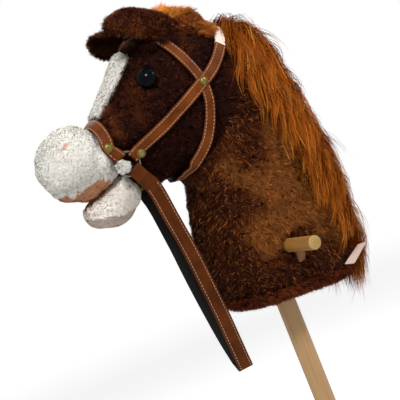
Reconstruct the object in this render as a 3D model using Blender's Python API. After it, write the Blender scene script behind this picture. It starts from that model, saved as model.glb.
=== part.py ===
# Hobby horse: a plush horse's head on a round wooden stick, with a handle peg and a strap bridle.
# Frame: +Z runs up the stick from its foot, the nose points to -X, and -Y is the horse's left side.
import bmesh
import bpy
import numpy as np
from mathutils import Matrix, Vector
from mathutils.bvhtree import BVHTree

# All sizes in metres.

# Stick and handle
STICK_D = 0.022
STICK_EDGE = 0.0015
# filling between the top of the stick and the crown of the head
STICK_COVER = 0.050
PEG_D = 0.015
PEG_LENGTH = 0.228
PEG_Z = 0.620
PEG_EDGE = 0.0018
WEDGE_WIDTH = 0.009
WEDGE_THICKNESS = 0.004
WEDGE_DROP = 0.012
WEDGE_RISE = 0.0045
WEDGE_POINT = 0.006
WEDGE_Y = -0.068
WEDGE_X = 0.0035

# Clearances
GAP = 0.0003
BORE_GAP = 0.00015
PLUSH_BORE_GAP = 0.0003
SEAM_GAP = 0.0003
LAY_MARGIN = 0.0001
SMOOTH_ANGLE = 38

# Plush forms
SKIN = 0.003
AROUND = 26
TILT = 0.11
NECK_FOOT_Z = 0.5625
GUSSET_SEAM_Z = 0.580
FOOT_ROUND = 0.011
# height at the stick, front, back, half thickness, roundness of the section
NECK = (
    (0.576, -0.0675, 0.0850, 0.0585, 3.0),
    (0.600, -0.0670, 0.0870, 0.0600, 3.0),
    (0.640, -0.0660, 0.0880, 0.0610, 3.0),
    (0.682, -0.0600, 0.0880, 0.0605, 2.9),
    (0.712, -0.0510, 0.0865, 0.0595, 2.8),
    (0.735, -0.0450, 0.0845, 0.0580, 2.7),
    (0.765, -0.0420, 0.0810, 0.0560, 2.6),
    (0.800, -0.0380, 0.0740, 0.0530, 2.5),
    (0.830, -0.0300, 0.0620, 0.0460, 2.4),
    (0.852, -0.0150, 0.0460, 0.0340, 2.3),
    (0.866, 0.0000, 0.0280, 0.0200, 2.2),
)
# station along X, top, underside, half width, roundness below the middle
HEAD = (
    (0.066, 0.8340, 0.7400, 0.0360, 2.3),
    (0.050, 0.8540, 0.7100, 0.0440, 2.3),
    (0.030, 0.8710, 0.6950, 0.0500, 2.3),
    (0.000, 0.8850, 0.6900, 0.0540, 2.3),
    (-0.030, 0.8920, 0.7000, 0.0555, 2.3),
    (-0.055, 0.8880, 0.7265, 0.0555, 2.2),
    (-0.075, 0.8735, 0.7280, 0.0530, 2.0),
    (-0.090, 0.8600, 0.7290, 0.0470, 1.55),
    (-0.105, 0.8450, 0.7350, 0.0400, 1.4),
    (-0.118, 0.8325, 0.7430, 0.0370, 1.4),
    (-0.132, 0.8175, 0.7560, 0.0350, 1.4),
    (-0.142, 0.8110, 0.7640, 0.0325, 1.6),
)
HEAD_UPPER_ROUND = 2.3
STICK_TOP = HEAD[3][1] - STICK_COVER
# the seam between head and neck, from the throat up to the back of the crest
THROAT_SEAM = (-0.052, 0.730)
CREST_SEAM = (0.062, 0.826)

MUZZLE_CENTRE = (-0.1700, 0.7865)
MUZZLE_RADII = (0.0395, 0.0420, 0.0400)
LIP_CENTRE = (-0.1455, 0.7265)
LIP_RADII = (0.0350, 0.0255, 0.0225)
LINING_CENTRE = (-0.1640, 0.7580)
LINING_RADII = (0.0370, 0.0310, 0.0140)

# Blaze: station along X and half width
BLAZE = ((-0.0760, 0.0260), (-0.0950, 0.0215), (-0.1120, 0.0180), (-0.1275, 0.0150))
BLAZE_THICKNESS = 0.003

# Ears: root, tip and the direction of the width
EAR_THICKNESS = 0.0075
EAR_HALF_WIDTH = 0.021
EAR_CUP = 0.006
EAR_WIDEST = 0.45
EAR_LEFT = ((-0.024, -0.036, 0.889), (-0.101, -0.050, 0.897), (0.0, 0.50, 0.866))
EAR_RIGHT = ((-0.013, 0.036, 0.864), (-0.078, 0.060, 0.890), (0.0, -0.50, 0.866))
EAR_LINING_THICKNESS = 0.0012
EAR_LINING_SHARE = 0.80

# Mane: height, front, back, half thickness
MANE = (
    (0.540, 0.0740, 0.0960, 0.0280),
    (0.553, 0.0680, 0.1050, 0.0450),
    (0.587, 0.0600, 0.1160, 0.0610),
    (0.618, 0.0560, 0.1260, 0.0660),
    (0.642, 0.0540, 0.1350, 0.0670),
    (0.680, 0.0510, 0.1250, 0.0670),
    (0.720, 0.0460, 0.1180, 0.0660),
    (0.755, 0.0450, 0.1110, 0.0640),
    (0.780, 0.0300, 0.1070, 0.0620),
    (0.810, 0.0220, 0.1000, 0.0580),
    (0.835, 0.0360, 0.0880, 0.0480),
    (0.852, 0.0440, 0.0780, 0.0360),
    (0.864, 0.0500, 0.0710, 0.0200),
)
MANE_ROUND = 2.5
# Forelock: station along X, half width and thickness
FORELOCK = (
    (-0.030, 0.020, 0.010),
    (-0.018, 0.025, 0.013),
    (0.000, 0.027, 0.011),
    (0.014, 0.026, 0.013),
    (0.022, 0.024, 0.010),
)

# Eyes
EYE_X = -0.0755
EYE_Z = 0.8385
EYE_D = 0.021
EYE_HEIGHT = 0.0075
EYE_SHANK_D = 0.004
EYE_SHANK_LENGTH = 0.012
WASHER_D = 0.017
WASHER_THICKNESS = 0.0012
WASHER_DEPTH = 0.0068

# Rings: centres of the left and the right one, which hold the rein's swing axis
RING_LEFT = (-0.1263, -0.0370, 0.7645)
RING_RIGHT = (-0.1056, 0.0422, 0.7595)
RING_R = 0.0125
RING_WIRE_R = 0.0013
RING_GAP = 0.0002

# Straps
STRAP = 0.0013
CHEEK_WIDTH = 0.0130
NOSE_WIDTH = 0.0135
BROW_WIDTH = 0.0125
THROAT_WIDTH = 0.0120
REIN_WIDTH = 0.0175
REIN_FOLD_WIDTH = 0.0155
ELASTIC_WIDTH = 0.0110
ELASTIC_THICKNESS = 0.0010
CHEEK_FROM_RING = 28.0
REIN_FROM_RING = -65.0
NOSE_FROM_RING_LEFT = 120.0
NOSE_FROM_RING_RIGHT = 136.0
CHEEK_RIVET_FROM_RING = 0.0212
NOSE_RIVET_FROM_RING = 0.0260
REIN_RIVET_FROM_RING = 0.0300
TAIL_PAST_RIVET = 0.0070
CROSS_X = -0.0215
CROSS_Z = 0.8140
# (X, Z) of the straps on the head's side
CHEEK_PATH = ((-0.084, 0.784), (-0.062, 0.7945), (-0.0405, 0.8045), (-0.0215, 0.8140),
              (-0.006, 0.8215), (0.0075, 0.8315), (0.0195, 0.8430))
BROW_PATH = ((-0.0222, 0.8180), (-0.0250, 0.8300), (-0.0310, 0.8450), (-0.0380, 0.8620))
# (X, degrees above the level) where these straps go on over or under the head
BROW_OVER = ((-0.043, 64.0), (-0.0475, 72.0), (-0.050, 81.0), (-0.051, 90.0))
THROAT_PATH = ((-0.0213, 0.8100), (-0.0208, 0.7990), (-0.0225, 0.7860), (-0.0290, 0.7690),
               (-0.0410, 0.7530), (-0.0560, 0.7420))
THROAT_UNDER = ((-0.0660, -48.0), (-0.0720, -58.0), (-0.0755, -68.0), (-0.0770, -79.0),
                (-0.0775, -90.0))
ELASTIC_PATH = ((0.0165, 0.8405), (0.0205, 0.8448), (0.0250, 0.8510))
ELASTIC_OVER = ((0.0280, 66.0), (0.0300, 73.0), (0.0310, 81.0), (0.0315, 90.0))
NOSE_PATH_X = -0.1365
NOSE_PATH_RISE = 0.010
# half lengths over which the cheek strap is lifted by what lies under it, and the slope beside them
CROSS_LIFT = 0.0120
ELASTIC_LIFT = 0.0085
LIFT_SLOPE = 0.006
LIFT_MARGIN = 0.001
HEAD_MID_Z = 0.785
HEAD_HALF = 0.055
RIVET_D = 0.0096
RIVET_DOME = 0.0024
RIVET_SHANK_D = 0.0034
RIVET_BORE_GAP = 0.0003

# Rein: leg centres from the ring down to the fold at the bottom
REIN_LEFT = ((-0.1075, -0.0310, 0.7330), (-0.1010, -0.0290, 0.6970), (-0.0940, -0.0260, 0.6550),
             (-0.0880, -0.0215, 0.6070), (-0.0845, -0.0180, 0.5800), (-0.0800, -0.0110, 0.5450),
             (-0.0765, -0.0050, 0.5220))
REIN_RIGHT = ((-0.0930, 0.0300, 0.7240), (-0.0865, 0.0265, 0.6750), (-0.0830, 0.0230, 0.6200),
              (-0.0805, 0.0180, 0.5800), (-0.0785, 0.0110, 0.5450), (-0.0765, 0.0050, 0.5220))
REIN_FOLD = (-0.0745, 0.0, 0.5105)
REIN_FOLD_R = 0.0018

# Tag: corners of its sewn edge, and how far it stands out
TAG_FROM = (0.056, -0.0570, 0.5735)
TAG_TO = (0.082, -0.0430, 0.5790)
TAG_OUT = (0.010, -0.0150, -0.0015)
TAG_THICKNESS = 0.0006

PLUSH = (0.16, 0.055, 0.022)
COLOURS = {
    "beech": ((0.42, 0.27, 0.12), 0.55, 0.0),
    "peg_wood": ((0.36, 0.21, 0.07), 0.50, 0.0),
    "brown_plush": (PLUSH, 0.95, 0.0),
    "dark_plush": ((0.06, 0.012, 0.006), 0.95, 0.0),
    "filling": ((0.85, 0.84, 0.80), 0.95, 0.0),
    "cream_plush": ((0.74, 0.70, 0.62), 0.95, 0.0),
    "peach_plush": ((0.50, 0.28, 0.17), 0.95, 0.0),
    "ear_cloth": ((0.02, 0.007, 0.003), 0.95, 0.0),
    "mane_pile": ((0.26, 0.075, 0.012), 0.90, 0.0),
    "eye_black": ((0.005, 0.007, 0.010), 0.08, 0.0),
    "washer_plastic": ((0.60, 0.60, 0.58), 0.50, 0.0),
    "strap_brown": ((0.115, 0.042, 0.017), 0.45, 0.0),
    "elastic_cream": ((0.70, 0.58, 0.46), 0.85, 0.0),
    "antique_brass": ((0.13, 0.10, 0.045), 0.38, 0.9),
    "ring_steel": ((0.45, 0.45, 0.43), 0.25, 1.0),
    "tag_cloth": ((0.65, 0.58, 0.52), 0.80, 0.0),
}


def clear_scene():
    for obj in list(bpy.data.objects):
        bpy.data.objects.remove(obj, do_unlink=True)


def material(slot):
    found = bpy.data.materials.get(slot)
    if found:
        return found
    colour, roughness, metallic = COLOURS[slot]
    made = bpy.data.materials.new(slot)
    made.use_nodes = True
    shader = made.node_tree.nodes["Principled BSDF"]
    shader.inputs["Base Color"].default_value = (*colour, 1.0)
    shader.inputs["Roughness"].default_value = roughness
    shader.inputs["Metallic"].default_value = metallic
    made.diffuse_color = (*colour, 1.0)
    return made


def make(name, points, faces, slot):
    """A mesh object with outward faces."""
    mesh = bpy.data.meshes.new(name)
    mesh.from_pydata([tuple(p) for p in points], [], faces)
    work = bmesh.new()
    work.from_mesh(mesh)
    bmesh.ops.recalc_face_normals(work, faces=work.faces)
    if work.calc_volume(signed=True) < 0:
        bmesh.ops.reverse_faces(work, faces=work.faces)
    bmesh.ops.triangulate(work, faces=work.faces)
    work.to_mesh(mesh)
    work.free()
    obj = bpy.data.objects.new(name, mesh)
    bpy.context.scene.collection.objects.link(obj)
    if slot:
        mesh.materials.append(material(slot))
    return obj


def loft(rings, strips=False):
    """Points and faces of a closed solid through rings of equal length.

    The ends close with a fan, or with strips where a ring is an upper row and a lower row reversed.
    """
    count = len(rings[0])
    points = [p for ring in rings for p in ring]
    faces = []
    for i in range(len(rings) - 1):
        for j in range(count):
            a = i * count + j
            b = i * count + (j + 1) % count
            faces.append((a, b, b + count, a + count))
    for ring, start in ((rings[0], 0), (rings[-1], (len(rings) - 1) * count)):
        if strips:
            faces += [(start + j, start + j + 1, start + count - 2 - j, start + count - 1 - j)
                      for j in range(count // 2 - 1)]
            continue
        centre = np.mean(np.array(ring), axis=0)
        points.append(centre)
        hub = len(points) - 1
        faces += [(hub, start + j, start + (j + 1) % count) for j in range(count)]
    return points, faces


def through(table, steps):
    """The table's rows and, between each two, points of a smooth curve through them."""
    rows = np.array(table, float)
    spans = np.linalg.norm(np.diff(rows, axis=0), axis=1)
    slopes = np.diff(rows, axis=0) / spans[:, None]
    before, after = spans[:-1, None], spans[1:, None]
    inner = (slopes[:-1] * after + slopes[1:] * before) / (before + after)
    slopes = np.vstack([slopes[:1], inner, slopes[-1:]])
    out = []
    for i, span in enumerate(spans):
        for t in np.arange(steps) / steps:
            rise = 3 * t ** 2 - 2 * t ** 3
            out.append(rows[i] * (1 - rise) + rows[i + 1] * rise
                       + slopes[i] * span * (t ** 3 - 2 * t ** 2 + t)
                       + slopes[i + 1] * span * (t ** 3 - t ** 2))
    out.append(rows[-1])
    return np.array(out)


def power(value, exponent):
    return np.sign(value) * np.abs(value) ** (2.0 / exponent)


def turn(count):
    return np.arange(count) * 2 * np.pi / count


def neck_ring(z, front, back, half, roundness, inset):
    middle = (front + back) / 2
    reach = (back - front) / 2 - inset
    angle = turn(AROUND)
    x = middle + reach * power(np.cos(angle), roundness)
    y = (half - inset) * power(np.sin(angle), roundness)
    return np.stack([x, y, z - TILT * x], axis=1)


def neck_form(inset, name="form", slot=None):
    """The neck, with every wall moved in by inset."""
    first = NECK[0]
    rings = []
    for share in (0.0, 0.3, 0.62, 1.0):
        angle = share * np.pi / 2
        z = NECK_FOOT_Z + inset + (FOOT_ROUND - inset) * (1 - np.sin(angle))
        shrink = (FOOT_ROUND - inset) * (1 - np.cos(angle))
        rings.insert(0, neck_ring(z, first[1], first[2], first[3], first[4], inset + shrink))
    for row in through(NECK, 1):
        rings.append(neck_ring(*row, inset))
    rings[-1][:, 2] -= inset
    return make(name, *loft(rings), slot)


def head_ring(x, top, bottom, half, lower_round, inset):
    middle = (top + bottom) / 2
    reach = (top - bottom) / 2 - inset
    angle = turn(AROUND)
    side, rise = np.cos(angle), np.sin(angle)
    roundness = np.where(rise < 0, lower_round, HEAD_UPPER_ROUND)
    y = (half - inset) * power(side, roundness)
    z = middle + reach * power(rise, roundness)
    return np.stack([np.full(AROUND, x), y, z], axis=1)


def head_form(inset, name="form", slot=None):
    """The head, with every wall moved in by inset."""
    rows = through(HEAD, 1)
    rings = [head_ring(*row, inset) for row in rows]
    rings[0][:, 0] -= inset
    rings[-1][:, 0] += inset
    return make(name, *loft(rings), slot)


def ellipsoid(name, centre, radii, slot, around=24, up=14, grow=0.0):
    size = np.array(radii) + grow
    rings = []
    for polar in np.linspace(0, np.pi, up + 1)[1:-1]:
        angle = turn(around)
        ring = np.stack([np.full(around, np.cos(polar)), np.sin(polar) * np.cos(angle),
                         np.sin(polar) * np.sin(angle)], axis=1)
        rings.append(ring * size + np.array([centre[0], 0.0, centre[1]]))
    points, faces = loft(rings)
    points[-2] = np.array([centre[0] + size[0], 0.0, centre[1]])
    points[-1] = np.array([centre[0] - size[0], 0.0, centre[1]])
    return make(name, points, faces, slot)


def basis(axis):
    """Two unit vectors at right angles to the axis and to each other."""
    axis = Vector(axis).normalized()
    side = axis.orthogonal().normalized()
    return axis, side, axis.cross(side)


def lathe(name, start, axis, profile, slot, segments=20):
    """A closed solid of revolution. The profile's (radius, distance along the axis) ends on the axis."""
    axis, side, other = basis(axis)
    start = Vector(start)
    rings = []
    for radius, along in profile:
        rings.append([start + axis * along + (side * np.cos(a) + other * np.sin(a)) * radius
                      for a in turn(segments)])
    return make(name, *loft(rings), slot)


def rod(name, start, end, diameter, slot=None, edge=0.0, segments=24):
    start, end = Vector(start), Vector(end)
    length = (end - start).length
    radius = diameter / 2
    profile = [(radius, 0.0), (radius, length)]
    if edge:
        profile = [(radius - edge, 0.0), (radius - edge * 0.3, edge * 0.3), (radius, edge),
                   (radius, length - edge), (radius - edge * 0.3, length - edge * 0.3),
                   (radius - edge, length)]
    return lathe(name, start, end - start, profile, slot, segments)


def box_at(name, centre, sides, rotation=None, slot=None):
    half = [s / 2 for s in sides]
    corners = [Vector((x * half[0], y * half[1], z * half[2]))
               for x in (-1, 1) for y in (-1, 1) for z in (-1, 1)]
    turned = rotation or Matrix.Identity(3)
    points = [Vector(centre) + turned @ c for c in corners]
    faces = [(0, 1, 3, 2), (4, 6, 7, 5), (0, 4, 5, 1), (2, 3, 7, 6), (0, 2, 6, 4), (1, 5, 7, 3)]
    return make(name, points, faces, slot)


def half_space(point, normal):
    """A large block that fills the side of the plane that the normal points to."""
    normal, side, other = basis(normal)
    size = 1.0
    rotation = Matrix((side, other, normal)).transposed()
    return box_at("block", Vector(point) + normal * size / 2, (size, size, size), rotation)


def carve(obj, *cutters):
    """Cuts the cutters out of the object and removes them."""
    for cutter in cutters:
        modifier = obj.modifiers.new("cut", "BOOLEAN")
        modifier.operation = "DIFFERENCE"
        modifier.solver = "EXACT"
        modifier.use_self = True
        modifier.object = cutter
        bpy.context.view_layer.update()
        graph = bpy.context.evaluated_depsgraph_get()
        made = bpy.data.meshes.new_from_object(obj.evaluated_get(graph))
        obj.modifiers.clear()
        obj.data = made
        made.name = obj.name
        weld(obj)
    keep_largest(obj)
    for cutter in cutters:
        bpy.data.objects.remove(cutter, do_unlink=True)
    return obj


def weld(obj, distance=2e-6):
    """Merges the tiny edges that a cut can leave."""
    work = bmesh.new()
    work.from_mesh(obj.data)
    bmesh.ops.remove_doubles(work, verts=work.verts, dist=distance)
    bmesh.ops.dissolve_degenerate(work, edges=work.edges, dist=distance)
    bmesh.ops.triangulate(work, faces=work.faces)
    work.to_mesh(obj.data)
    work.free()
    return obj


def keep_largest(obj):
    """Removes the slivers that a cut leaves beside the body."""
    work = bmesh.new()
    work.from_mesh(obj.data)
    left = set(work.verts)
    bodies = []
    while left:
        queue = [left.pop()]
        body = list(queue)
        while queue:
            for edge in queue.pop().link_edges:
                for vert in edge.verts:
                    if vert in left:
                        left.remove(vert)
                        queue.append(vert)
                        body.append(vert)
        bodies.append(body)
    bodies.sort(key=len)
    bmesh.ops.delete(work, geom=[v for body in bodies[:-1] for v in body], context="VERTS")
    work.to_mesh(obj.data)
    work.free()


def grown(obj, distance):
    """A copy with each point moved out along its normal."""
    work = bmesh.new()
    work.from_mesh(obj.data)
    work.normal_update()
    moves = [(v, v.normal.copy()) for v in work.verts]
    for vert, normal in moves:
        vert.co += normal * distance
    mesh = bpy.data.meshes.new("grown")
    work.to_mesh(mesh)
    work.free()
    copy = bpy.data.objects.new("grown", mesh)
    bpy.context.scene.collection.objects.link(copy)
    return copy


def tree_of(obj):
    work = bmesh.new()
    work.from_mesh(obj.data)
    tree = BVHTree.FromBMesh(work)
    work.free()
    return tree


clear_scene()

# Surfaces that the bridle and the panels lie on
surface = head_form(0.0)
HEAD_TREE = tree_of(surface)
bpy.data.objects.remove(surface, do_unlink=True)
REACH = 0.25


def seen(start, direction):
    hit, normal, _, _ = HEAD_TREE.ray_cast(Vector(start), Vector(direction).normalized())
    return hit, normal


def side_hit(x, z, side):
    return seen((x, side * REACH, z), (0, -side, 0))


def around_hit(x, degrees, side):
    """The head's surface at an angle above the level, looking from a side."""
    angle = np.radians(degrees)
    way = Vector((0, side * np.cos(angle), np.sin(angle)))
    return seen(Vector((x, 0, HEAD_MID_Z)) + way * REACH, -way)


def top_hit(x, y):
    return seen((x, y, HEAD_MID_Z + REACH), (0, 0, -1))


def clear_of_head(point):
    near, normal, _, _ = HEAD_TREE.find_nearest(point)
    return (point - near).dot(normal)


def raised(frames, half, thickness, lifts):
    """The frames, raised where a straight stretch between two would touch the head."""
    for _ in range(5):
        needed = [0.0] * len(frames)
        for i in range(len(frames) - 1):
            (c0, n0, w0), (c1, n1, w1) = frames[i], frames[i + 1]
            floor = GAP + LAY_MARGIN + min(lifts[i], lifts[i + 1])
            for t in np.linspace(0.0, 1.0, 7):
                centre = c0.lerp(c1, t) - n0.lerp(n1, t) * thickness / 2
                way = w0.lerp(w1, t) * half
                for w in np.linspace(-1.0, 1.0, 9):
                    short = floor - clear_of_head(centre + way * w)
                    needed[i] = max(needed[i], short)
                    needed[i + 1] = max(needed[i + 1], short)
        frames = [(c + n * max(d, 0.0), n, w) for (c, n, w), d in zip(frames, needed)]
    return frames


def laid(hits, half, thickness, lifts):
    """Frames (centre, normal, width way) of a strap that lies on the head through these hits."""
    frames = []
    for i, (point, normal) in enumerate(hits):
        before = hits[max(i - 1, 0)][0]
        after = hits[min(i + 1, len(hits) - 1)][0]
        tangent = (after - before).normalized()
        width_way = tangent.cross(normal).normalized()
        normal = width_way.cross(tangent).normalized()
        frames.append((point + normal * (GAP + lifts[i] + thickness / 2), normal, width_way))
    return raised(frames, half, thickness, lifts)


def tail_under(points, run, side, half):
    """A folded end that lies under its own strap, from the strap's first point to just past the rivet."""
    hits = []
    for distance in np.linspace(0.0, TAIL_PAST_RIVET, 4):
        x = np.interp(distance, run[:len(points)], [p[0] for p in points])
        z = np.interp(distance, run[:len(points)], [p[1] for p in points])
        hits.append(side_hit(x, z, side))
    return [(c, -n, w) for c, n, w in laid(hits, half, STRAP, [0.0] * len(hits))]


def ribbon(name, frames, halves, thickness, slot):
    """A strap of rectangular section along the frames."""
    rings = []
    for (centre, normal, width_way), half in zip(frames, halves):
        out = normal * thickness / 2
        wide = width_way * half
        rings.append([centre - wide - out, centre + wide - out, centre + wide + out,
                      centre - wide + out])
    return make(name, *loft(rings), slot)


# Rings and the axis through them
LEFT, RIGHT = -1, 1
RING_CENTRES = {LEFT: Vector(RING_LEFT), RIGHT: Vector(RING_RIGHT)}
SWING_AXIS = (RING_CENTRES[RIGHT] - RING_CENTRES[LEFT]).normalized()
RING_FORWARD = (Vector((1, 0, 0)) - SWING_AXIS * SWING_AXIS.x).normalized()
RING_UP = RING_FORWARD.cross(SWING_AXIS)


def ring_way(degrees):
    angle = np.radians(degrees)
    return RING_FORWARD * np.cos(angle) + RING_UP * np.sin(angle)


def fold_frames(side, degrees, half, width_way):
    """Frames of a strap that comes in on the outer side of a ring's wire, turns round it and goes back."""
    centre = RING_CENTRES[side]
    way = ring_way(degrees)
    out = SWING_AXIS * side
    bend = RING_WIRE_R + RING_GAP + STRAP / 2
    near = np.sqrt((RING_R - RING_WIRE_R) ** 2 - half ** 2) + RING_WIRE_R - RING_GAP / 2
    across = way.cross(out).normalized()
    if across.dot(width_way) < 0:
        across = -across
    start = RING_R + RING_WIRE_R
    frames = [(centre + way * start + out * bend, out, across)]
    for turned in np.linspace(0, np.pi, 9):
        normal = out * np.cos(turned) - way * np.sin(turned)
        frames.append((centre + way * near + normal * bend, normal, across))
    frames.append((centre + way * start - out * bend, -out, across))
    return frames


def step_at(distance, middle, half, height):
    """A step of this height over middle +- half, with a slope at each side."""
    past = abs(distance - middle) - half
    return height * float(np.clip(1 - past / LIFT_SLOPE, 0.0, 1.0))


def longer(frames, extra):
    """The frames with one more at each end, so that a groove cut with them is longer than the strap."""
    first = (frames[0][0] - frames[1][0]).normalized() * extra
    last = (frames[-1][0] - frames[-2][0]).normalized() * extra
    return ([(frames[0][0] + first, *frames[0][1:])] + frames
            + [(frames[-1][0] + last, *frames[-1][1:])])


def rivet(name, frames, index, half, layers):
    """A domed head on a strap, with a shank through its layers. Returns the bore's cutter."""
    centre, normal, _ = frames[index]
    radius, shank = RIVET_D / 2, RIVET_SHANK_D / 2
    rise = STRAP / 2
    for (c0, n0, w0), (c1, n1, w1) in zip(frames, frames[1:]):
        twist = abs((w1 - w0).dot(normal)) * half / 2
        for t in (0.0, 0.25, 0.5, 0.75, 1.0):
            way = n0.lerp(n1, t)
            spot = c0.lerp(c1, t) + way * STRAP / 2
            for edge in np.linspace(-half, half, 7):
                corner = spot + w0.lerp(w1, t) * edge - centre
                height = corner.dot(normal)
                if (corner - normal * height).length < radius + 0.002 and way.dot(normal) > 0.5:
                    rise = max(rise, height + twist)
    top = centre + normal * (rise + GAP)
    depth = rise + GAP + STRAP / 2 + (layers - 1) * (STRAP + GAP)
    profile = [(shank, -depth), (shank, 0.0), (radius, 0.0), (radius, 0.0006)]
    for angle in np.radians((28, 60)):
        profile.append((radius * np.cos(angle), 0.0006 + (RIVET_DOME - 0.0006) * np.sin(angle)))
    lathe(name, top, normal, profile, "antique_brass", 14)
    return rod("bore", top - normal * (depth + GAP / 2), top + normal * 0.001,
               RIVET_SHANK_D + 2 * RIVET_BORE_GAP, segments=14)


# The stick with its bore for the handle peg
stick = rod("stick", (0, 0, 0), (0, 0, STICK_TOP), STICK_D, "beech", STICK_EDGE, 32)
carve(stick, rod("bore", (0, -STICK_D, PEG_Z), (0, STICK_D, PEG_Z), PEG_D + 2 * BORE_GAP))

peg = rod("handle_peg", (0, -PEG_LENGTH / 2, PEG_Z), (0, PEG_LENGTH / 2, PEG_Z), PEG_D,
          "peg_wood", PEG_EDGE, 28)
peg_under = PEG_Z - PEG_D / 2
slot_size = (WEDGE_WIDTH + 2 * BORE_GAP, WEDGE_THICKNESS + 2 * BORE_GAP, 2 * (WEDGE_RISE + BORE_GAP))
carve(peg, box_at("slot", (WEDGE_X, WEDGE_Y, peg_under), slot_size))
wedge_side = [
    (-WEDGE_WIDTH / 2, WEDGE_RISE), (WEDGE_WIDTH / 2, WEDGE_RISE),
    (WEDGE_WIDTH / 2, WEDGE_POINT - WEDGE_DROP), (WEDGE_WIDTH * 0.2, -WEDGE_DROP * 0.85),
    (-WEDGE_WIDTH * 0.42, -WEDGE_DROP), (-WEDGE_WIDTH / 2, -WEDGE_DROP * 0.9),
]
make("peg_wedge", *loft([
    [(WEDGE_X + x, WEDGE_Y + y, peg_under + z) for x, z in wedge_side]
    for y in (-WEDGE_THICKNESS / 2, WEDGE_THICKNESS / 2)
]), "peg_wood")

# Neck and head: plush skins that are open where they are sewn together, round a filling
throat = Vector((THROAT_SEAM[0], 0, THROAT_SEAM[1]))
crest = Vector((CREST_SEAM[0], 0, CREST_SEAM[1]))
seam_way = (crest - throat).normalized()
SEAM_NORMAL = Vector((-seam_way.z, 0, seam_way.x))
gusset_normal = Vector((TILT, 0, 1)).normalized()
gusset_point = Vector((0, 0, GUSSET_SEAM_Z))
seam_half = SEAM_GAP / 2


def stick_bore(gap):
    return rod("bore", (0, 0, NECK_FOOT_Z - 0.05), (0, 0, STICK_TOP + gap), STICK_D + 2 * gap)


def peg_bore():
    reach = PEG_LENGTH
    return rod("bore", (0, -reach, PEG_Z), (0, reach, PEG_Z), PEG_D + 2 * PLUSH_BORE_GAP)


def above(point, normal, gap):
    return half_space(point + normal * gap, normal)


def below(point, normal, gap):
    return half_space(point - normal * gap, -normal)


neck_skin = neck_form(0.0, "neck_skin", "brown_plush")
carve(neck_skin, neck_form(SKIN), above(throat, SEAM_NORMAL, -seam_half),
      below(gusset_point, gusset_normal, -seam_half), peg_bore())
gusset = neck_form(0.0, "neck_gusset", "dark_plush")
carve(gusset, neck_form(SKIN), above(gusset_point, gusset_normal, -seam_half),
      stick_bore(PLUSH_BORE_GAP))
neck_filling = neck_form(SKIN + GAP, "neck_filling", "filling")
carve(neck_filling, above(throat, SEAM_NORMAL, -seam_half), stick_bore(PLUSH_BORE_GAP), peg_bore())

head_skin = head_form(0.0, "head_skin", "brown_plush")
carve(head_skin, head_form(SKIN), below(throat, SEAM_NORMAL, -seam_half))
head_filling = head_form(SKIN + GAP, "head_filling", "filling")
carve(head_filling, below(throat, SEAM_NORMAL, -seam_half), stick_bore(PLUSH_BORE_GAP))

# Eyes, each with a shank through the skin and a lock washer behind it
for side, label in ((LEFT, "left"), (RIGHT, "right")):
    hit, normal = side_hit(EYE_X, EYE_Z, side)
    seat = hit + normal * GAP
    radius, shank = EYE_D / 2, EYE_SHANK_D / 2
    profile = [(shank, -EYE_SHANK_LENGTH), (shank, 0.0), (radius - 0.001, 0.0), (radius, 0.0012)]
    for angle in np.radians((18, 36, 54, 72)):
        profile.append((radius * np.cos(angle), 0.0012 + (EYE_HEIGHT - 0.0012) * np.sin(angle)))
    lathe("eye_" + label, seat, normal, profile, "eye_black", 24)
    washer_seat = hit - normal * WASHER_DEPTH
    washer = rod("eye_washer_" + label, washer_seat, washer_seat - normal * WASHER_THICKNESS,
                 WASHER_D, "washer_plastic", segments=24)
    shank_hole = EYE_SHANK_D + 2 * BORE_GAP
    carve(washer, rod("bore", hit, hit - normal * 0.02, shank_hole, segments=16))
    carve(head_skin, rod("bore", hit + normal * 0.01, hit - normal * 0.01,
                         EYE_SHANK_D + 2 * GAP, segments=16))
    carve(head_filling,
          rod("pocket", hit + normal * 0.01, washer_seat - normal * (WASHER_THICKNESS + GAP),
              WASHER_D + 2 * GAP, segments=24),
          rod("bore", hit, hit - normal * (EYE_SHANK_LENGTH + GAP), EYE_SHANK_D + 2 * GAP,
              segments=16))

# Muzzle, lower lip and the lining between them
muzzle = ellipsoid("muzzle", MUZZLE_CENTRE, MUZZLE_RADII, "cream_plush", 24, 14)
carve(muzzle, head_form(-GAP))
lining = ellipsoid("mouth_lining", LINING_CENTRE, LINING_RADII, "peach_plush", 20, 10)
muzzle_cutter = ellipsoid("cut", MUZZLE_CENTRE, MUZZLE_RADII, None, 24, 14, GAP * 1.6)
carve(lining, muzzle_cutter, head_form(-GAP))
lip = ellipsoid("lower_lip", LIP_CENTRE, LIP_RADII, "cream_plush", 20, 12)
lining_cutter = ellipsoid("cut", LINING_CENTRE, LINING_RADII, None, 20, 10, GAP * 1.6)
muzzle_cutter = ellipsoid("cut", MUZZLE_CENTRE, MUZZLE_RADII, None, 24, 14, GAP * 1.6)
carve(lip, head_form(-GAP), lining_cutter, muzzle_cutter)


def panel(name, table, columns, slot, thickness=None):
    """A padded panel on the head's upper side, from stations along X."""
    rings = []
    sunk = 0.001
    for row in through(table, 3):
        x, half = row[0], row[1]
        height = thickness if thickness else row[2]
        upper, lower = [], []
        for share in np.linspace(-1, 1, columns):
            hit, normal = top_hit(x, half * share)
            full = height * max(1 - share ** 6, 0.35) if thickness else height * (1 - share ** 2)
            upper.append(hit + normal * (GAP + max(full, 0.0012)))
            lower.append(hit - normal * sunk)
        rings.append(upper + lower[::-1])
    made = make(name, *loft(rings, strips=True), slot)
    return carve(made, head_form(-GAP))


panel("blaze", BLAZE, 11, "cream_plush", BLAZE_THICKNESS)
forelock = panel("forelock", FORELOCK, 11, "mane_pile")

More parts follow.
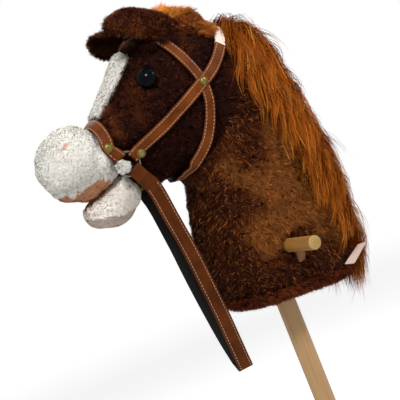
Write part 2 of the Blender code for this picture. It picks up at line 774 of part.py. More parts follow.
# Cheek straps, from the rings up past the crossing to the elastic behind the ears
double = STRAP + GAP
bores = []
for side, label in ((LEFT, "left"), (RIGHT, "right")):
    centre = RING_CENTRES[side]
    way = ring_way(CHEEK_FROM_RING)
    root = centre + way * CHEEK_RIVET_FROM_RING
    path = [(root.x, root.z)] + list(CHEEK_PATH)
    points = through(path, 3)
    hits = [side_hit(x, z, side) for x, z in points]
    run = np.cumsum([0.0] + [(b[0] - a[0]).length for a, b in zip(hits, hits[1:])])
    cross = min(range(len(points)), key=lambda i: np.hypot(points[i][0] - CROSS_X,
                                                           points[i][1] - CROSS_Z))
    lifts = [step_at(d, 0.0, TAIL_PAST_RIVET + LIFT_MARGIN, double)
             + step_at(d, run[cross], CROSS_LIFT, double)
             + step_at(d, run[-1], ELASTIC_LIFT, ELASTIC_THICKNESS + GAP) for d in run]
    half = CHEEK_WIDTH / 2
    outer = laid(hits, half, STRAP, lifts)
    inner = tail_under(points, run, side, half)
    fold = fold_frames(side, CHEEK_FROM_RING, half, outer[0][2])
    frames = outer[::-1] + fold + inner
    strap = ribbon("cheek_strap_" + label, frames, [half] * len(frames), STRAP, "strap_brown")
    low_bore = rivet("cheek_rivet_" + label, fold[:1] + outer, 1, half, 2)
    cross_bore = rivet("cross_rivet_" + label, outer, cross, half, 2)
    carve(strap, low_bore, cross_bore)

# Noseband over the muzzle's root, from ring to ring
nose_half = NOSE_WIDTH / 2
halves_of_nose = {}
for side, degrees in ((LEFT, NOSE_FROM_RING_LEFT), (RIGHT, NOSE_FROM_RING_RIGHT)):
    root = RING_CENTRES[side] + ring_way(degrees) * NOSE_RIVET_FROM_RING
    points = through([(root.x, root.z), ((root.x + NOSE_PATH_X) / 2, root.z + NOSE_PATH_RISE)], 3)
    hits = [side_hit(x, z, side) for x, z in points]
    top_angle = 90.0
    first_angle = np.degrees(np.arctan2(points[-1][1] - HEAD_MID_Z, abs(hits[-1][0].y)))
    for share in np.linspace(0, 1, 13)[1:]:
        x = points[-1][0] + (NOSE_PATH_X - points[-1][0]) * min(share * 1.6, 1.0)
        hits.append(around_hit(x, first_angle + (top_angle - first_angle) * share, side))
    run = np.cumsum([0.0] + [(b[0] - a[0]).length for a, b in zip(hits, hits[1:])])
    lifts = [step_at(d, 0.0, TAIL_PAST_RIVET + LIFT_MARGIN, double) for d in run]
    outer = laid(hits, nose_half, STRAP, lifts)
    inner = tail_under(points, run, side, nose_half)
    fold = fold_frames(side, degrees, nose_half, outer[0][2])
    halves_of_nose[side] = (outer, fold + inner)
    under = longer(fold[-1:] + inner, GAP)
    carve(muzzle, ribbon("groove", under, [nose_half + GAP] * len(under), STRAP + 2 * GAP, None))
left_outer, left_end = halves_of_nose[LEFT]
right_outer, right_end = halves_of_nose[RIGHT]
flipped = [(c, n, -w) for c, n, w in right_outer[::-1]]
frames = left_end[::-1] + left_outer + flipped[1:] + [(c, n, -w) for c, n, w in right_end]
noseband = ribbon("noseband", frames, [nose_half] * len(frames), STRAP, "strap_brown")
middle = (left_end[:1] + left_outer + flipped[1:]
          + [(c, n, -w) for c, n, w in right_end[:1]])
carve(muzzle, ribbon("groove", middle, [nose_half + GAP] * len(middle), STRAP + 2 * GAP, None))
bore_left = rivet("nose_rivet_left", left_end[:1] + left_outer, 1, nose_half, 2)
bore_right = rivet("nose_rivet_right", right_end[:1] + right_outer, 1, nose_half, 2)
carve(noseband, bore_left, bore_right)


def mirrored_run(one_side):
    """Hits from the left side over or under the head to the right side."""
    left = [one_side(i, LEFT) for i in range(one_side(None, None))]
    right = [one_side(i, RIGHT) for i in range(one_side(None, None))]
    return left + right[::-1][1:]


def hits_of(side_points, angles):
    """A function for mirrored_run: points on the side, then (X, degrees) round to the middle."""
    spots = through(side_points, 3)
    angles = through([(x, np.radians(d) * HEAD_HALF) for x, d in angles], 3)
    angles = [(x, np.degrees(a / HEAD_HALF)) for x, a in angles]

    def one(index, side):
        if index is None:
            return len(spots) + len(angles)
        if index < len(spots):
            return side_hit(spots[index][0], spots[index][1], side)
        x, degrees = angles[index - len(spots)]
        return around_hit(x, degrees, side)

    return one


def band(name, side_points, angles, width, thickness, slot):
    hits = mirrored_run(hits_of(side_points, angles))
    frames = laid(hits, width / 2, thickness, [0.0] * len(hits))
    return ribbon(name, frames, [width / 2] * len(frames), thickness, slot)


brow = band("browband", BROW_PATH, BROW_OVER, BROW_WIDTH, STRAP, "strap_brown")
band("throatlatch", THROAT_PATH, THROAT_UNDER, THROAT_WIDTH, STRAP, "strap_brown")
elastic = band("poll_elastic", ELASTIC_PATH, ELASTIC_OVER, ELASTIC_WIDTH, ELASTIC_THICKNESS,
               "elastic_cream")

# Rings
for side, label in ((LEFT, "left"), (RIGHT, "right")):
    steps, section = 36, 6
    rings = []
    for along in turn(steps):
        way = ring_way(np.degrees(along))
        middle = RING_CENTRES[side] + way * RING_R
        rings.append([middle + (way * np.cos(a) + SWING_AXIS * np.sin(a)) * RING_WIRE_R
                      for a in turn(section)])
    points = [p for ring in rings for p in ring]
    faces = []
    for i in range(steps):
        for j in range(section):
            a, b = i * section + j, i * section + (j + 1) % section
            c, d = ((i + 1) % steps) * section + (j + 1) % section, ((i + 1) % steps) * section + j
            faces.append((a, b, c, d))
    make("ring_" + label, points, faces, "ring_steel")

# The rein, one strap folded round both rings and creased at the bottom
rein_half = REIN_WIDTH / 2
fold_half = REIN_FOLD_WIDTH / 2


def leg_frames(side, table):
    way = ring_way(REIN_FROM_RING)
    out = SWING_AXIS * side
    start = RING_CENTRES[side] + way * (RING_R + 0.008) + out * (STRAP + GAP) / 2
    points = [Vector(p) for p in through([start] + list(table), 4)]
    frames = []
    for i, point in enumerate(points):
        tangent = (points[min(i + 1, len(points) - 1)] - points[max(i - 1, 0)]).normalized()
        share = min(i / 10.0, 1.0)
        aim = out.lerp(Vector((0, side, 0)), share)
        width_way = tangent.cross(aim).normalized()
        frames.append((point, width_way.cross(tangent).normalized(), width_way))
    return frames


def tail_frames(side, leg):
    """The folded end, on the leg's inner side as far as just past the rivet."""
    reach = REIN_RIVET_FROM_RING + TAIL_PAST_RIVET
    out = []
    for centre, normal, width_way in leg:
        if (centre - RING_CENTRES[side]).length > reach:
            break
        out.append((centre - normal * (STRAP + GAP), -normal, width_way))
    return out


legs = {LEFT: leg_frames(LEFT, REIN_LEFT), RIGHT: leg_frames(RIGHT, REIN_RIGHT)}
whole = []
for side in (LEFT, RIGHT):
    leg = legs[side]
    fold = fold_frames(side, REIN_FROM_RING, fold_half, leg[0][2])
    tail = tail_frames(side, leg)
    frames = tail[::-1] + fold[::-1] + leg
    halves = ([rein_half] * len(tail) + [fold_half] * len(fold)
              + [fold_half + (rein_half - fold_half) * min(i / 4.0, 1.0)
                 for i in range(len(leg))])
    halves[:len(tail)] = halves[len(tail) + len(fold):][:len(tail)][::-1]
    whole.append((frames, halves, tail))
crease = []
for turned in np.linspace(0, np.pi, 9)[1:-1]:
    normal = Vector((0, -np.cos(turned), -np.sin(turned)))
    crease.append((Vector(REIN_FOLD) + Vector((0, 0, REIN_FOLD_R)) + normal * REIN_FOLD_R, normal,
                   Vector((1, 0, 0))))
frames, halves = list(whole[0][0]), list(whole[0][1])
sign = 1 if frames[-1][2].dot(crease[0][2]) > 0 else -1
frames += [(c, n, w * sign) for c, n, w in crease]
halves += [rein_half] * len(crease)
right_frames = whole[1][0][::-1]
sign = 1 if right_frames[0][2].dot(frames[-1][2]) > 0 else -1
frames += [(c, n, w * sign) for c, n, w in right_frames]
halves += whole[1][1][::-1]
rein = ribbon("rein", frames, halves, STRAP, "strap_brown")
for (_, _, tail), label, side in ((whole[0], "left", LEFT), (whole[1], "right", RIGHT)):
    spot = min(range(len(tail)), key=lambda i: abs(
        (tail[i][0] - RING_CENTRES[side]).length - REIN_RIVET_FROM_RING))
    carve(rein, rivet("rein_rivet_" + label, tail, spot, rein_half, 1))

# Mane down the back of the neck
mane_rings = []
for z, front, back, half in through(MANE, 1):
    angle = turn(AROUND)
    middle, reach = (front + back) / 2, (back - front) / 2
    mane_rings.append(np.stack([middle + reach * power(np.cos(angle), MANE_ROUND),
                                half * power(np.sin(angle), MANE_ROUND),
                                np.full(AROUND, z)], axis=1))
mane = make("mane", *loft(mane_rings), "mane_pile")
carve(mane, neck_form(-GAP), head_form(-GAP))


def leaf_rows(root, tip, width_way, side, share, stations, columns=9):
    """Rows of (point on the middle surface, half thickness, outward way) of a cupped, leaf-shaped flap."""
    root, tip = Vector(root), Vector(tip)
    along = (tip - root).normalized()
    across = Vector(width_way).normalized()
    across = (across - along * along.dot(across)).normalized()
    out = along.cross(across)
    if out.y * side < 0:
        out = -out
    rows = []
    for u in stations:
        if u < EAR_WIDEST:
            outline = 0.62 + 0.38 * np.sin(np.pi / 2 * u / EAR_WIDEST)
        else:
            outline = np.sqrt(max(1 - ((u - EAR_WIDEST) / (1 - EAR_WIDEST)) ** 2.2, 0.0))
        row = []
        for v in np.linspace(-share, share, columns):
            swell = min(np.sqrt(max(1 - v ** 4, 0.0)) * (1 - u ** 6) + 0.15, 1.0)
            middle = root.lerp(tip, u) + across * EAR_HALF_WIDTH * outline * v - out * EAR_CUP * v ** 2
            row.append((middle, swell * EAR_THICKNESS / 2, out))
        rows.append(row)
    return rows


for side, label, (root, tip, way) in ((LEFT, "left", EAR_LEFT), (RIGHT, "right", EAR_RIGHT)):
    rings = []
    for row in leaf_rows(root, tip, way, side, 1.0, np.linspace(0.0, 0.97, 11)):
        rings.append([p + out * t for p, t, out in row] + [p - out * t for p, t, out in row[::-1]])
    ear = make("ear_" + label, *loft(rings, strips=True), "brown_plush")
    rings = []
    for row in leaf_rows(root, tip, way, side, EAR_LINING_SHARE, np.linspace(0.14, 0.86, 9)):
        near = [p - out * (t + 2 * GAP) for p, t, out in row]
        far = [p - row[0][2] * EAR_LINING_THICKNESS for p in near]
        rings.append(near + far[::-1])
    lining = make("ear_lining_" + label, *loft(rings, strips=True), "ear_cloth")
    carve(lining, head_form(-GAP), grown(brow, GAP), grown(forelock, GAP))
    carve(ear, head_form(-GAP), grown(brow, GAP), grown(forelock, GAP))

# Blank sewn-in tag at the gusset's seam
tag_out = Vector(TAG_OUT)
tag_along = Vector(TAG_TO) - Vector(TAG_FROM)
tag_normal = tag_along.cross(tag_out).normalized()
tag_corners = [Vector(TAG_FROM), Vector(TAG_TO), Vector(TAG_TO) + tag_out,
               Vector(TAG_FROM) + tag_out]
tag = make("tag", *loft([[c + tag_normal * TAG_THICKNESS * s for c in tag_corners]
                         for s in (-0.5, 0.5)]), "tag_cloth")
carve(tag, neck_form(-GAP))
carve(mane, grown(tag, GAP), grown(elastic, GAP))

for obj in list(bpy.data.objects):
    weld(obj)
    obj.data.shade_smooth()
    obj.data.set_sharp_from_angle(angle=np.radians(SMOOTH_ANGLE))


def hang(name, centre, pieces):
    """Puts the pieces under an empty at the point that they turn about."""
    pivot = bpy.data.objects.new(name, None)
    pivot.location = centre
    bpy.context.scene.collection.objects.link(pivot)
    for piece in pieces:
        obj = bpy.data.objects[piece]
        obj.data.transform(Matrix.Translation(-Vector(centre)))
        obj.parent = pivot


# The rein swings and the rings turn about the axis through both rings
swing_middle = (RING_CENTRES[LEFT] + RING_CENTRES[RIGHT]) / 2
hang("rein_pivot", swing_middle, ("rein", "rein_rivet_left", "rein_rivet_right"))
hang("ring_left_pivot", RING_CENTRES[LEFT], ("ring_left",))
hang("ring_right_pivot", RING_CENTRES[RIGHT], ("ring_right",))
bpy.context.view_layer.update()
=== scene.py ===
import bmesh
import bpy
import numpy as np
from mathutils import Matrix, Vector, noise
from mathutils.bvhtree import BVHTree
from mathutils.kdtree import KDTree


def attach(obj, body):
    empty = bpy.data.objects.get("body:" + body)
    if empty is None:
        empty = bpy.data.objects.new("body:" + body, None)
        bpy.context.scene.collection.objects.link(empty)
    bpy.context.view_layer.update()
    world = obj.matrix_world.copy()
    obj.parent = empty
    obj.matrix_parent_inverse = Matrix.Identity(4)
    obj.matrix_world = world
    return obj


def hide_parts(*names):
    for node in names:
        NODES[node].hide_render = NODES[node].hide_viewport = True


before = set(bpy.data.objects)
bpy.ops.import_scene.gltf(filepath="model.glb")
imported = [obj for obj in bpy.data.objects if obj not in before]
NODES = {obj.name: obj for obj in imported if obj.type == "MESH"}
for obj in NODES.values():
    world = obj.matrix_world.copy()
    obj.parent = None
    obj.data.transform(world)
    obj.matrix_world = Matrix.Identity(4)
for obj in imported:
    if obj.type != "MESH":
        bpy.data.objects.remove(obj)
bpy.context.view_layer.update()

LEFT, RIGHT = -1, 1
SIDES = ((LEFT, "left"), (RIGHT, "right"))

# Sizes of the model's forms
GAP = 0.0003
LAY_MARGIN = 0.0001
STRAP = 0.0013
STICK_TOP = 0.835
PEG_D = 0.015
PEG_LENGTH = 0.228
PEG_Z = 0.620
TILT = 0.11
NECK_FOOT_Z = 0.5625
GUSSET_SEAM_Z = 0.580
FOOT_ROUND = 0.011
NECK = (
    (0.576, -0.0675, 0.0850, 0.0585, 3.0),
    (0.600, -0.0670, 0.0870, 0.0600, 3.0),
    (0.640, -0.0660, 0.0880, 0.0610, 3.0),
    (0.682, -0.0600, 0.0880, 0.0605, 2.9),
    (0.712, -0.0510, 0.0865, 0.0595, 2.8),
    (0.735, -0.0450, 0.0845, 0.0580, 2.7),
    (0.765, -0.0420, 0.0810, 0.0560, 2.6),
    (0.800, -0.0380, 0.0740, 0.0530, 2.5),
    (0.830, -0.0300, 0.0620, 0.0460, 2.4),
    (0.852, -0.0150, 0.0460, 0.0340, 2.3),
    (0.866, 0.0000, 0.0280, 0.0200, 2.2),
)
HEAD = (
    (0.066, 0.8340, 0.7400, 0.0360, 2.3),
    (0.050, 0.8540, 0.7100, 0.0440, 2.3),
    (0.030, 0.8710, 0.6950, 0.0500, 2.3),
    (0.000, 0.8850, 0.6900, 0.0540, 2.3),
    (-0.030, 0.8920, 0.7000, 0.0555, 2.3),
    (-0.055, 0.8880, 0.7265, 0.0555, 2.2),
    (-0.075, 0.8735, 0.7280, 0.0530, 2.0),
    (-0.090, 0.8600, 0.7290, 0.0470, 1.55),
    (-0.105, 0.8450, 0.7350, 0.0400, 1.4),
    (-0.118, 0.8325, 0.7430, 0.0370, 1.4),
    (-0.132, 0.8175, 0.7560, 0.0350, 1.4),
    (-0.142, 0.8110, 0.7640, 0.0325, 1.6),
)
HEAD_UPPER_ROUND = 2.3
THROAT_SEAM = (-0.052, 0.730)
CREST_SEAM = (0.062, 0.826)
MUZZLE_CENTRE, MUZZLE_RADII = (-0.1700, 0.7865), (0.0395, 0.0420, 0.0400)
LIP_FORMS = (
    (-0.1590, 0.7270, (0.0205, 0.0245, 0.0185)),
    (-0.1460, 0.7285, (0.0270, 0.0255, 0.0235)),
    (-0.1360, 0.7345, (0.0250, 0.0255, 0.0215)),
    (-0.1300, 0.7475, (0.0120, 0.0200, 0.0125)),
)
LINING_FORMS = (
    (-0.1630, 0.7590, (0.0345, 0.0285, 0.0135)),
    (-0.1654, 0.7565, (0.0160, 0.0270, 0.0145)),
)
# The fold across the lip, from its front edge to the rein
LIP_FOLD = ((-0.186, 0.014, 0.736), (-0.173, 0.022, 0.727), (-0.144, 0.026, 0.720), (-0.120, 0.020, 0.7225))
BLAZE = ((-0.0760, 0.0260), (-0.0950, 0.0215), (-0.1120, 0.0180), (-0.1275, 0.0150))
BLAZE_THICKNESS = 0.003
EAR_CUP = 0.006
# How far the mane's form reaches to each side, by height, and the cushion's share of that
MANE_WIDTHS = ((0.587, 0.0610), (0.618, 0.0660), (0.642, 0.0670), (0.680, 0.0670), (0.720, 0.0660),
               (0.755, 0.0640), (0.780, 0.0620), (0.810, 0.0580), (0.835, 0.0480), (0.852, 0.0360),
               (0.864, 0.0200))
CUSHION_SHARE = 0.62
FORELOCK = (
    (-0.030, 0.020, 0.010),
    (-0.018, 0.025, 0.013),
    (0.000, 0.027, 0.011),
    (0.014, 0.026, 0.013),
    (0.022, 0.024, 0.010),
)
EYE_X, EYE_Z, EYE_D, EYE_HEIGHT = -0.0755, 0.8385, 0.021, 0.0075
RING_CENTRES = {LEFT: Vector((-0.1263, -0.0370, 0.7645)), RIGHT: Vector((-0.1056, 0.0422, 0.7595))}
RING_R, RING_WIRE_R, RING_GAP = 0.0125, 0.0013, 0.0002
CHEEK_WIDTH, NOSE_WIDTH, BROW_WIDTH, THROAT_WIDTH = 0.0130, 0.0135, 0.0125, 0.0120
REIN_WIDTH, REIN_FOLD_WIDTH, ELASTIC_WIDTH, ELASTIC_THICKNESS = 0.0175, 0.0155, 0.0110, 0.0010
CHEEK_FROM_RING, REIN_FROM_RING = 28.0, -65.0
NOSE_FROM_RING = {LEFT: 120.0, RIGHT: 136.0}
CHEEK_RIVET_FROM_RING, NOSE_RIVET_FROM_RING, REIN_RIVET_FROM_RING = 0.0212, 0.0260, 0.0300
TAIL_PAST_RIVET = 0.0070
CROSS = (-0.0215, 0.8140)
CHEEK_PATH = ((-0.084, 0.784), (-0.062, 0.7945), (-0.0405, 0.8045), (-0.0215, 0.8140),
              (-0.006, 0.8215), (0.0075, 0.8315), (0.0195, 0.8430))
BROW_PATH = ((-0.0222, 0.8180), (-0.0250, 0.8300), (-0.0310, 0.8450), (-0.0380, 0.8620))
BROW_OVER = ((-0.043, 64.0), (-0.0475, 72.0), (-0.050, 81.0), (-0.051, 90.0))
THROAT_PATH = ((-0.0213, 0.8100), (-0.0213, 0.8000), (-0.0240, 0.7880), (-0.0305, 0.7730),
               (-0.0370, 0.7600), (-0.0430, 0.7500))
THROAT_UNDER = ((-0.0505, -48.0), (-0.0560, -58.0), (-0.0615, -68.0), (-0.0655, -79.0),
                (-0.0670, -90.0))
ELASTIC_PATH = ((0.0165, 0.8405), (0.0205, 0.8448), (0.0250, 0.8510))
ELASTIC_OVER = ((0.0280, 66.0), (0.0300, 73.0), (0.0310, 81.0), (0.0315, 90.0))
NOSE_PATH_X, NOSE_PATH_RISE = -0.1365, 0.010
CROSS_LIFT, ELASTIC_LIFT, LIFT_SLOPE, LIFT_MARGIN = 0.0120, 0.0085, 0.006, 0.001
HEAD_MID_Z, HEAD_HALF = 0.785, 0.055
RIVET_D, RIVET_DOME = 0.0096, 0.0024
REIN_LEGS = {
    LEFT: ((-0.1075, -0.0310, 0.7330), (-0.1010, -0.0290, 0.6970), (-0.0940, -0.0260, 0.6550),
           (-0.0880, -0.0215, 0.6070), (-0.0845, -0.0180, 0.5800), (-0.0800, -0.0110, 0.5450),
           (-0.0765, -0.0050, 0.5220)),
    RIGHT: ((-0.0930, 0.0300, 0.7240), (-0.0865, 0.0265, 0.6750), (-0.0830, 0.0230, 0.6200),
            (-0.0805, 0.0180, 0.5800), (-0.0785, 0.0110, 0.5450), (-0.0765, 0.0050, 0.5220)),
}
REIN_FOLD, REIN_FOLD_R = (-0.0745, 0.0, 0.5105), 0.0018
TAG_FROM, TAG_TO = (0.0540, -0.0580, 0.5750), (0.0830, -0.0490, 0.5860)
TAG_OUT = (0.010, -0.0150, -0.0015)

# The plush's backing lies this far inside the form, and its pile fills the rest
PILE_DEPTH = 0.0045
STRAND_TWIST = 0.55
SKIN_LIGHT = 0.65
# Straight down in the photograph, where the head hangs forward
PHOTO_DOWN = np.array((-0.37, 0.0, -0.93))

# The noise that shapes lumps and naps starts from the clock unless it is given a seed
NOISE_SEED = 23
noise.seed_set(NOISE_SEED)


# Small helpers
def obj_of(name, mesh, looks, body="horse", replaces=(), smooth=38):
    """A piece on its body, with its materials, in the place of the nodes it replaces."""
    obj = bpy.data.objects.new(name, mesh)
    bpy.context.scene.collection.objects.link(obj)
    looks = (looks,) if isinstance(looks, str) else looks
    for look in looks:
        mesh.materials.append(LOOKS[look])
    if smooth:
        mesh.shade_smooth()
        mesh.set_sharp_from_angle(angle=np.radians(smooth))
    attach(obj, body)
    if replaces:
        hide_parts(*replaces)
    return obj


def joined(meshes, made=None, outward=False):
    """Several meshes as one, with its faces turned outwards if asked."""
    work = bmesh.new()
    for mesh in meshes:
        work.from_mesh(mesh)
    if outward:
        bmesh.ops.recalc_face_normals(work, faces=work.faces)
    made = made or bpy.data.meshes.new("joined")
    work.to_mesh(made)
    work.free()
    return made


def mesh_of(name, points, faces):
    mesh = bpy.data.meshes.new(name)
    mesh.from_pydata([tuple(p) for p in points], [], [tuple(f) for f in faces])
    return joined([mesh], mesh, True)


def tree_of(mesh):
    work = bmesh.new()
    work.from_mesh(mesh)
    tree = BVHTree.FromBMesh(work)
    work.free()
    return tree


def loft(rings, strips=False):
    """Points and faces of a closed solid through rings of equal length."""
    count = len(rings[0])
    points = [p for ring in rings for p in ring]
    faces = []
    for i in range(len(rings) - 1):
        for j in range(count):
            a = i * count + j
            b = i * count + (j + 1) % count
            faces.append((a, b, b + count, a + count))
    for ring, start in ((rings[0], 0), (rings[-1], (len(rings) - 1) * count)):
        if strips:
            faces += [(start + j, start + j + 1, start + count - 2 - j, start + count - 1 - j)
                      for j in range(count // 2 - 1)]
            continue
        points.append(np.mean(np.array([tuple(p) for p in ring]), axis=0))
        hub = len(points) - 1
        faces += [(hub, start + j, start + (j + 1) % count) for j in range(count)]
    return points, faces


def through(table, steps):
    """The table's rows and, between each two, points of a smooth curve through them."""
    rows = np.array(table, float)
    spans = np.linalg.norm(np.diff(rows, axis=0), axis=1)
    slopes = np.diff(rows, axis=0) / spans[:, None]
    before, after = spans[:-1, None], spans[1:, None]
    inner = (slopes[:-1] * after + slopes[1:] * before) / (before + after)
    slopes = np.vstack([slopes[:1], inner, slopes[-1:]])
    out = []
    for i, span in enumerate(spans):
        for t in np.arange(steps) / steps:
            rise = 3 * t ** 2 - 2 * t ** 3
            out.append(rows[i] * (1 - rise) + rows[i + 1] * rise
                       + slopes[i] * span * (t ** 3 - 2 * t ** 2 + t)
                       + slopes[i + 1] * span * (t ** 3 - t ** 2))
    out.append(rows[-1])
    return np.array(out)


def power(value, exponent):
    return np.sign(value) * np.abs(value) ** (2.0 / exponent)


def turn(count):
    return np.arange(count) * 2 * np.pi / count


def unit(vectors):
    return vectors / np.maximum(np.linalg.norm(vectors, axis=-1, keepdims=True), 1e-9)


# The forms that the plush and the bridle lie on
def neck_rings(inset, around, steps):
    def ring(z, front, back, half, roundness, moved):
        middle = (front + back) / 2
        reach = (back - front) / 2 - moved
        angle = turn(around)
        x = middle + reach * power(np.cos(angle), roundness)
        y = (half - moved) * power(np.sin(angle), roundness)
        return np.stack([x, y, z - TILT * x], axis=1)

    first = NECK[0]
    rings = []
    for share in (0.0, 0.3, 0.62, 1.0):
        angle = share * np.pi / 2
        z = NECK_FOOT_Z + inset + (FOOT_ROUND - inset) * (1 - np.sin(angle))
        shrink = (FOOT_ROUND - inset) * (1 - np.cos(angle))
        rings.insert(0, ring(z, first[1], first[2], first[3], first[4], inset + shrink))
    rings += [ring(*row, inset) for row in through(NECK, steps)]
    return rings


def head_rings(inset, around, steps):
    rings = []
    angle = turn(around)
    side, rise = np.cos(angle), np.sin(angle)
    for x, top, bottom, half, lower_round in through(HEAD, steps):
        middle, reach = (top + bottom) / 2, (top - bottom) / 2 - inset
        roundness = np.where(rise < 0, lower_round, HEAD_UPPER_ROUND)
        rings.append(np.stack([np.full(around, x), (half - inset) * power(side, roundness),
                               middle + reach * power(rise, roundness)], axis=1))
    return rings


HEAD_TREE = tree_of(mesh_of("head_form", *loft(head_rings(0.0, around=26, steps=1))))
REACH = 0.25


def seen(start, direction):
    hit, normal, _, _ = HEAD_TREE.ray_cast(Vector(start), Vector(direction).normalized())
    return hit, normal


def side_hit(x, z, side):
    return seen((x, side * REACH, z), (0, -side, 0))


def around_hit(x, degrees, side):
    angle = np.radians(degrees)
    way = Vector((0, side * np.cos(angle), np.sin(angle)))
    return seen(Vector((x, 0, HEAD_MID_Z)) + way * REACH, -way)


def top_hit(x, y):
    return seen((x, y, HEAD_MID_Z + REACH), (0, 0, -1))


SWING_AXIS = (RING_CENTRES[RIGHT] - RING_CENTRES[LEFT]).normalized()
RING_FORWARD = (Vector((1, 0, 0)) - SWING_AXIS * SWING_AXIS.x).normalized()
RING_UP = RING_FORWARD.cross(SWING_AXIS)


def ring_way(degrees):
    angle = np.radians(degrees)
    return RING_FORWARD * np.cos(angle) + RING_UP * np.sin(angle)


# Materials
def linear(rgb):
    """Linear values of a colour given in 0 to 255."""
    c = np.array(rgb, float) / 255
    return tuple(np.where(c <= 0.04045, c / 12.92, ((c + 0.055) / 1.055) ** 2.4)) + (1.0,)


class Nodes:
    """A node tree with a short way to add and join nodes."""

    def __init__(self, tree):
        self.tree = tree

    def join(self, value, socket):
        if isinstance(value, bpy.types.NodeSocket):
            self.tree.links.new(value, socket)
        else:
            socket.default_value = value

    def node(self, kind, settings=(), **inputs):
        node = self.tree.nodes.new("ShaderNode" + kind)
        for key, value in dict(settings).items():
            setattr(node, key, value)
        for key, value in inputs.items():
            self.join(value, node.inputs[key.replace("_", " ")])
        return node

    def math(self, operation, *values):
        node = self.node("Math", {"operation": operation})
        for value, socket in zip(values, node.inputs):
            self.join(value, socket)
        return node.outputs[0]

    def directly_seen(self):
        """1 to the camera, in mirrors and through glass, 0 to light that bounces."""
        path = self.node("LightPath").outputs
        shown = self.math("MAXIMUM", path["Is Camera Ray"], path["Is Glossy Ray"])
        return self.math("MAXIMUM", shown, path["Is Transmission Ray"])


class Shader(Nodes):
    """A Principled material."""

    def __init__(self, name, **sockets):
        self.made = bpy.data.materials.new(name)
        self.made.use_nodes = True
        super().__init__(self.made.node_tree)
        self.set(**sockets)

    def set(self, **sockets):
        for key, value in sockets.items():
            self.join(value, self.tree.nodes["Principled BSDF"].inputs[key.replace("_", " ")])

    def place(self):
        return self.node("TexCoord").outputs["Object"]

    def scaled(self, vector, scale):
        return self.node("Mapping", Vector=vector, Scale=tuple(scale)).outputs[0]

    def noise(self, vector, scale, detail=3.0, rough=0.55):
        return self.node("TexNoise", Vector=vector, Scale=scale, Detail=detail,
                         Roughness=rough).outputs["Fac"]

    def ramp(self, factor, *stops):
        node = self.node("ValToRGB", Fac=factor)
        elements = node.color_ramp.elements
        while len(elements) < len(stops):
            elements.new(0.5)
        for element, (position, colour) in zip(elements, stops):
            element.position = position
            element.color = colour
        return node.outputs["Color"]

    def mix(self, factor, a, b, blend="MIX"):
        node = self.node("Mix", {"data_type": "RGBA", "blend_type": blend})
        for value, index in ((factor, 0), (a, 6), (b, 7)):
            self.join(value, node.inputs[index])
        return node.outputs[2]

    def between(self, value, low, high):
        return self.node("MapRange", Value=value, To_Min=low, To_Max=high).outputs[0]

    def bump(self, height, strength, distance):
        self.set(Normal=self.node("Bump", Height=height, Strength=strength, Distance=distance).outputs[0])

    def shade(self, channel):
        attribute = self.node("Attribute", {"attribute_name": "shade"})
        return self.node("SeparateColor", Color=attribute.outputs["Color"]).outputs[channel]


def pile_material(name, root, tip, bright, vary, sheen):
    """Pile: darker at the root as painted shade deep in the pile, each strand and each tuft a little
    different, and lit parts towards bright as painted light.

    The strands' shade holds root to tip, the strand's own tone, and how far it goes to bright as painted
    light.
    """
    s = Shader(name, Roughness=0.7, Specular_IOR_Level=0.06, Sheen_Weight=sheen, Sheen_Roughness=0.4,
               Sheen_Tint=linear(tip))
    body = s.mix(s.shade(2), s.mix(s.shade(0), linear(root), linear(tip)), linear(bright))
    tone = s.math("MULTIPLY_ADD", s.shade(1), vary, 1 - vary / 2)
    value = s.node("CombineColor", Red=tone, Green=tone, Blue=tone).outputs[0]
    s.set(Base_Color=s.mix(1.0, body, value, "MULTIPLY"))
    return s.made


def backing_material(name, dark, light):
    s = Shader(name, Roughness=0.95, Specular_IOR_Level=0.03)
    place = s.place()
    s.set(Base_Color=s.ramp(s.noise(place, 260.0), (0.3, linear(dark)), (0.7, linear(light))))
    s.bump(s.noise(place, 420.0, 4.0), 0.8, 0.0015)
    return s.made


def strap_material(name, dark, light):
    """Coated strap: fine grain, faint creases and rubbed lighter areas."""
    s = Shader(name, Specular_IOR_Level=0.06)
    place = s.place()
    cloud = s.noise(place, 38.0)
    s.set(Base_Color=s.ramp(cloud, (0.35, linear(dark)), (0.7, linear(light))),
          Roughness=s.between(cloud, 0.36, 0.52))
    grain = s.node("TexVoronoi", {"feature": "DISTANCE_TO_EDGE"}, Vector=place, Scale=900.0).outputs[0]
    s.bump(s.math("ADD", s.math("MULTIPLY", grain, 1.2), s.noise(place, 1800.0, 2.0)), 0.35, 0.0002)
    return s.made


def plain_material(name, colour, spread=0.12, scale=60.0, bump=0.1, **sockets):
    """One colour with a faint cloud in it and a fine bump."""
    s = Shader(name, **sockets)
    place = s.place()
    c = np.array(linear(colour)[:3])
    s.set(Base_Color=s.ramp(s.noise(place, scale, 4.0), (0.3, (*(c * (1 - spread)), 1.0)),
                            (0.7, (*np.minimum(c * (1 + spread), 1), 1.0))))
    if bump:
        s.bump(s.noise(place, scale * 12), bump, 0.0003)
    return s.made


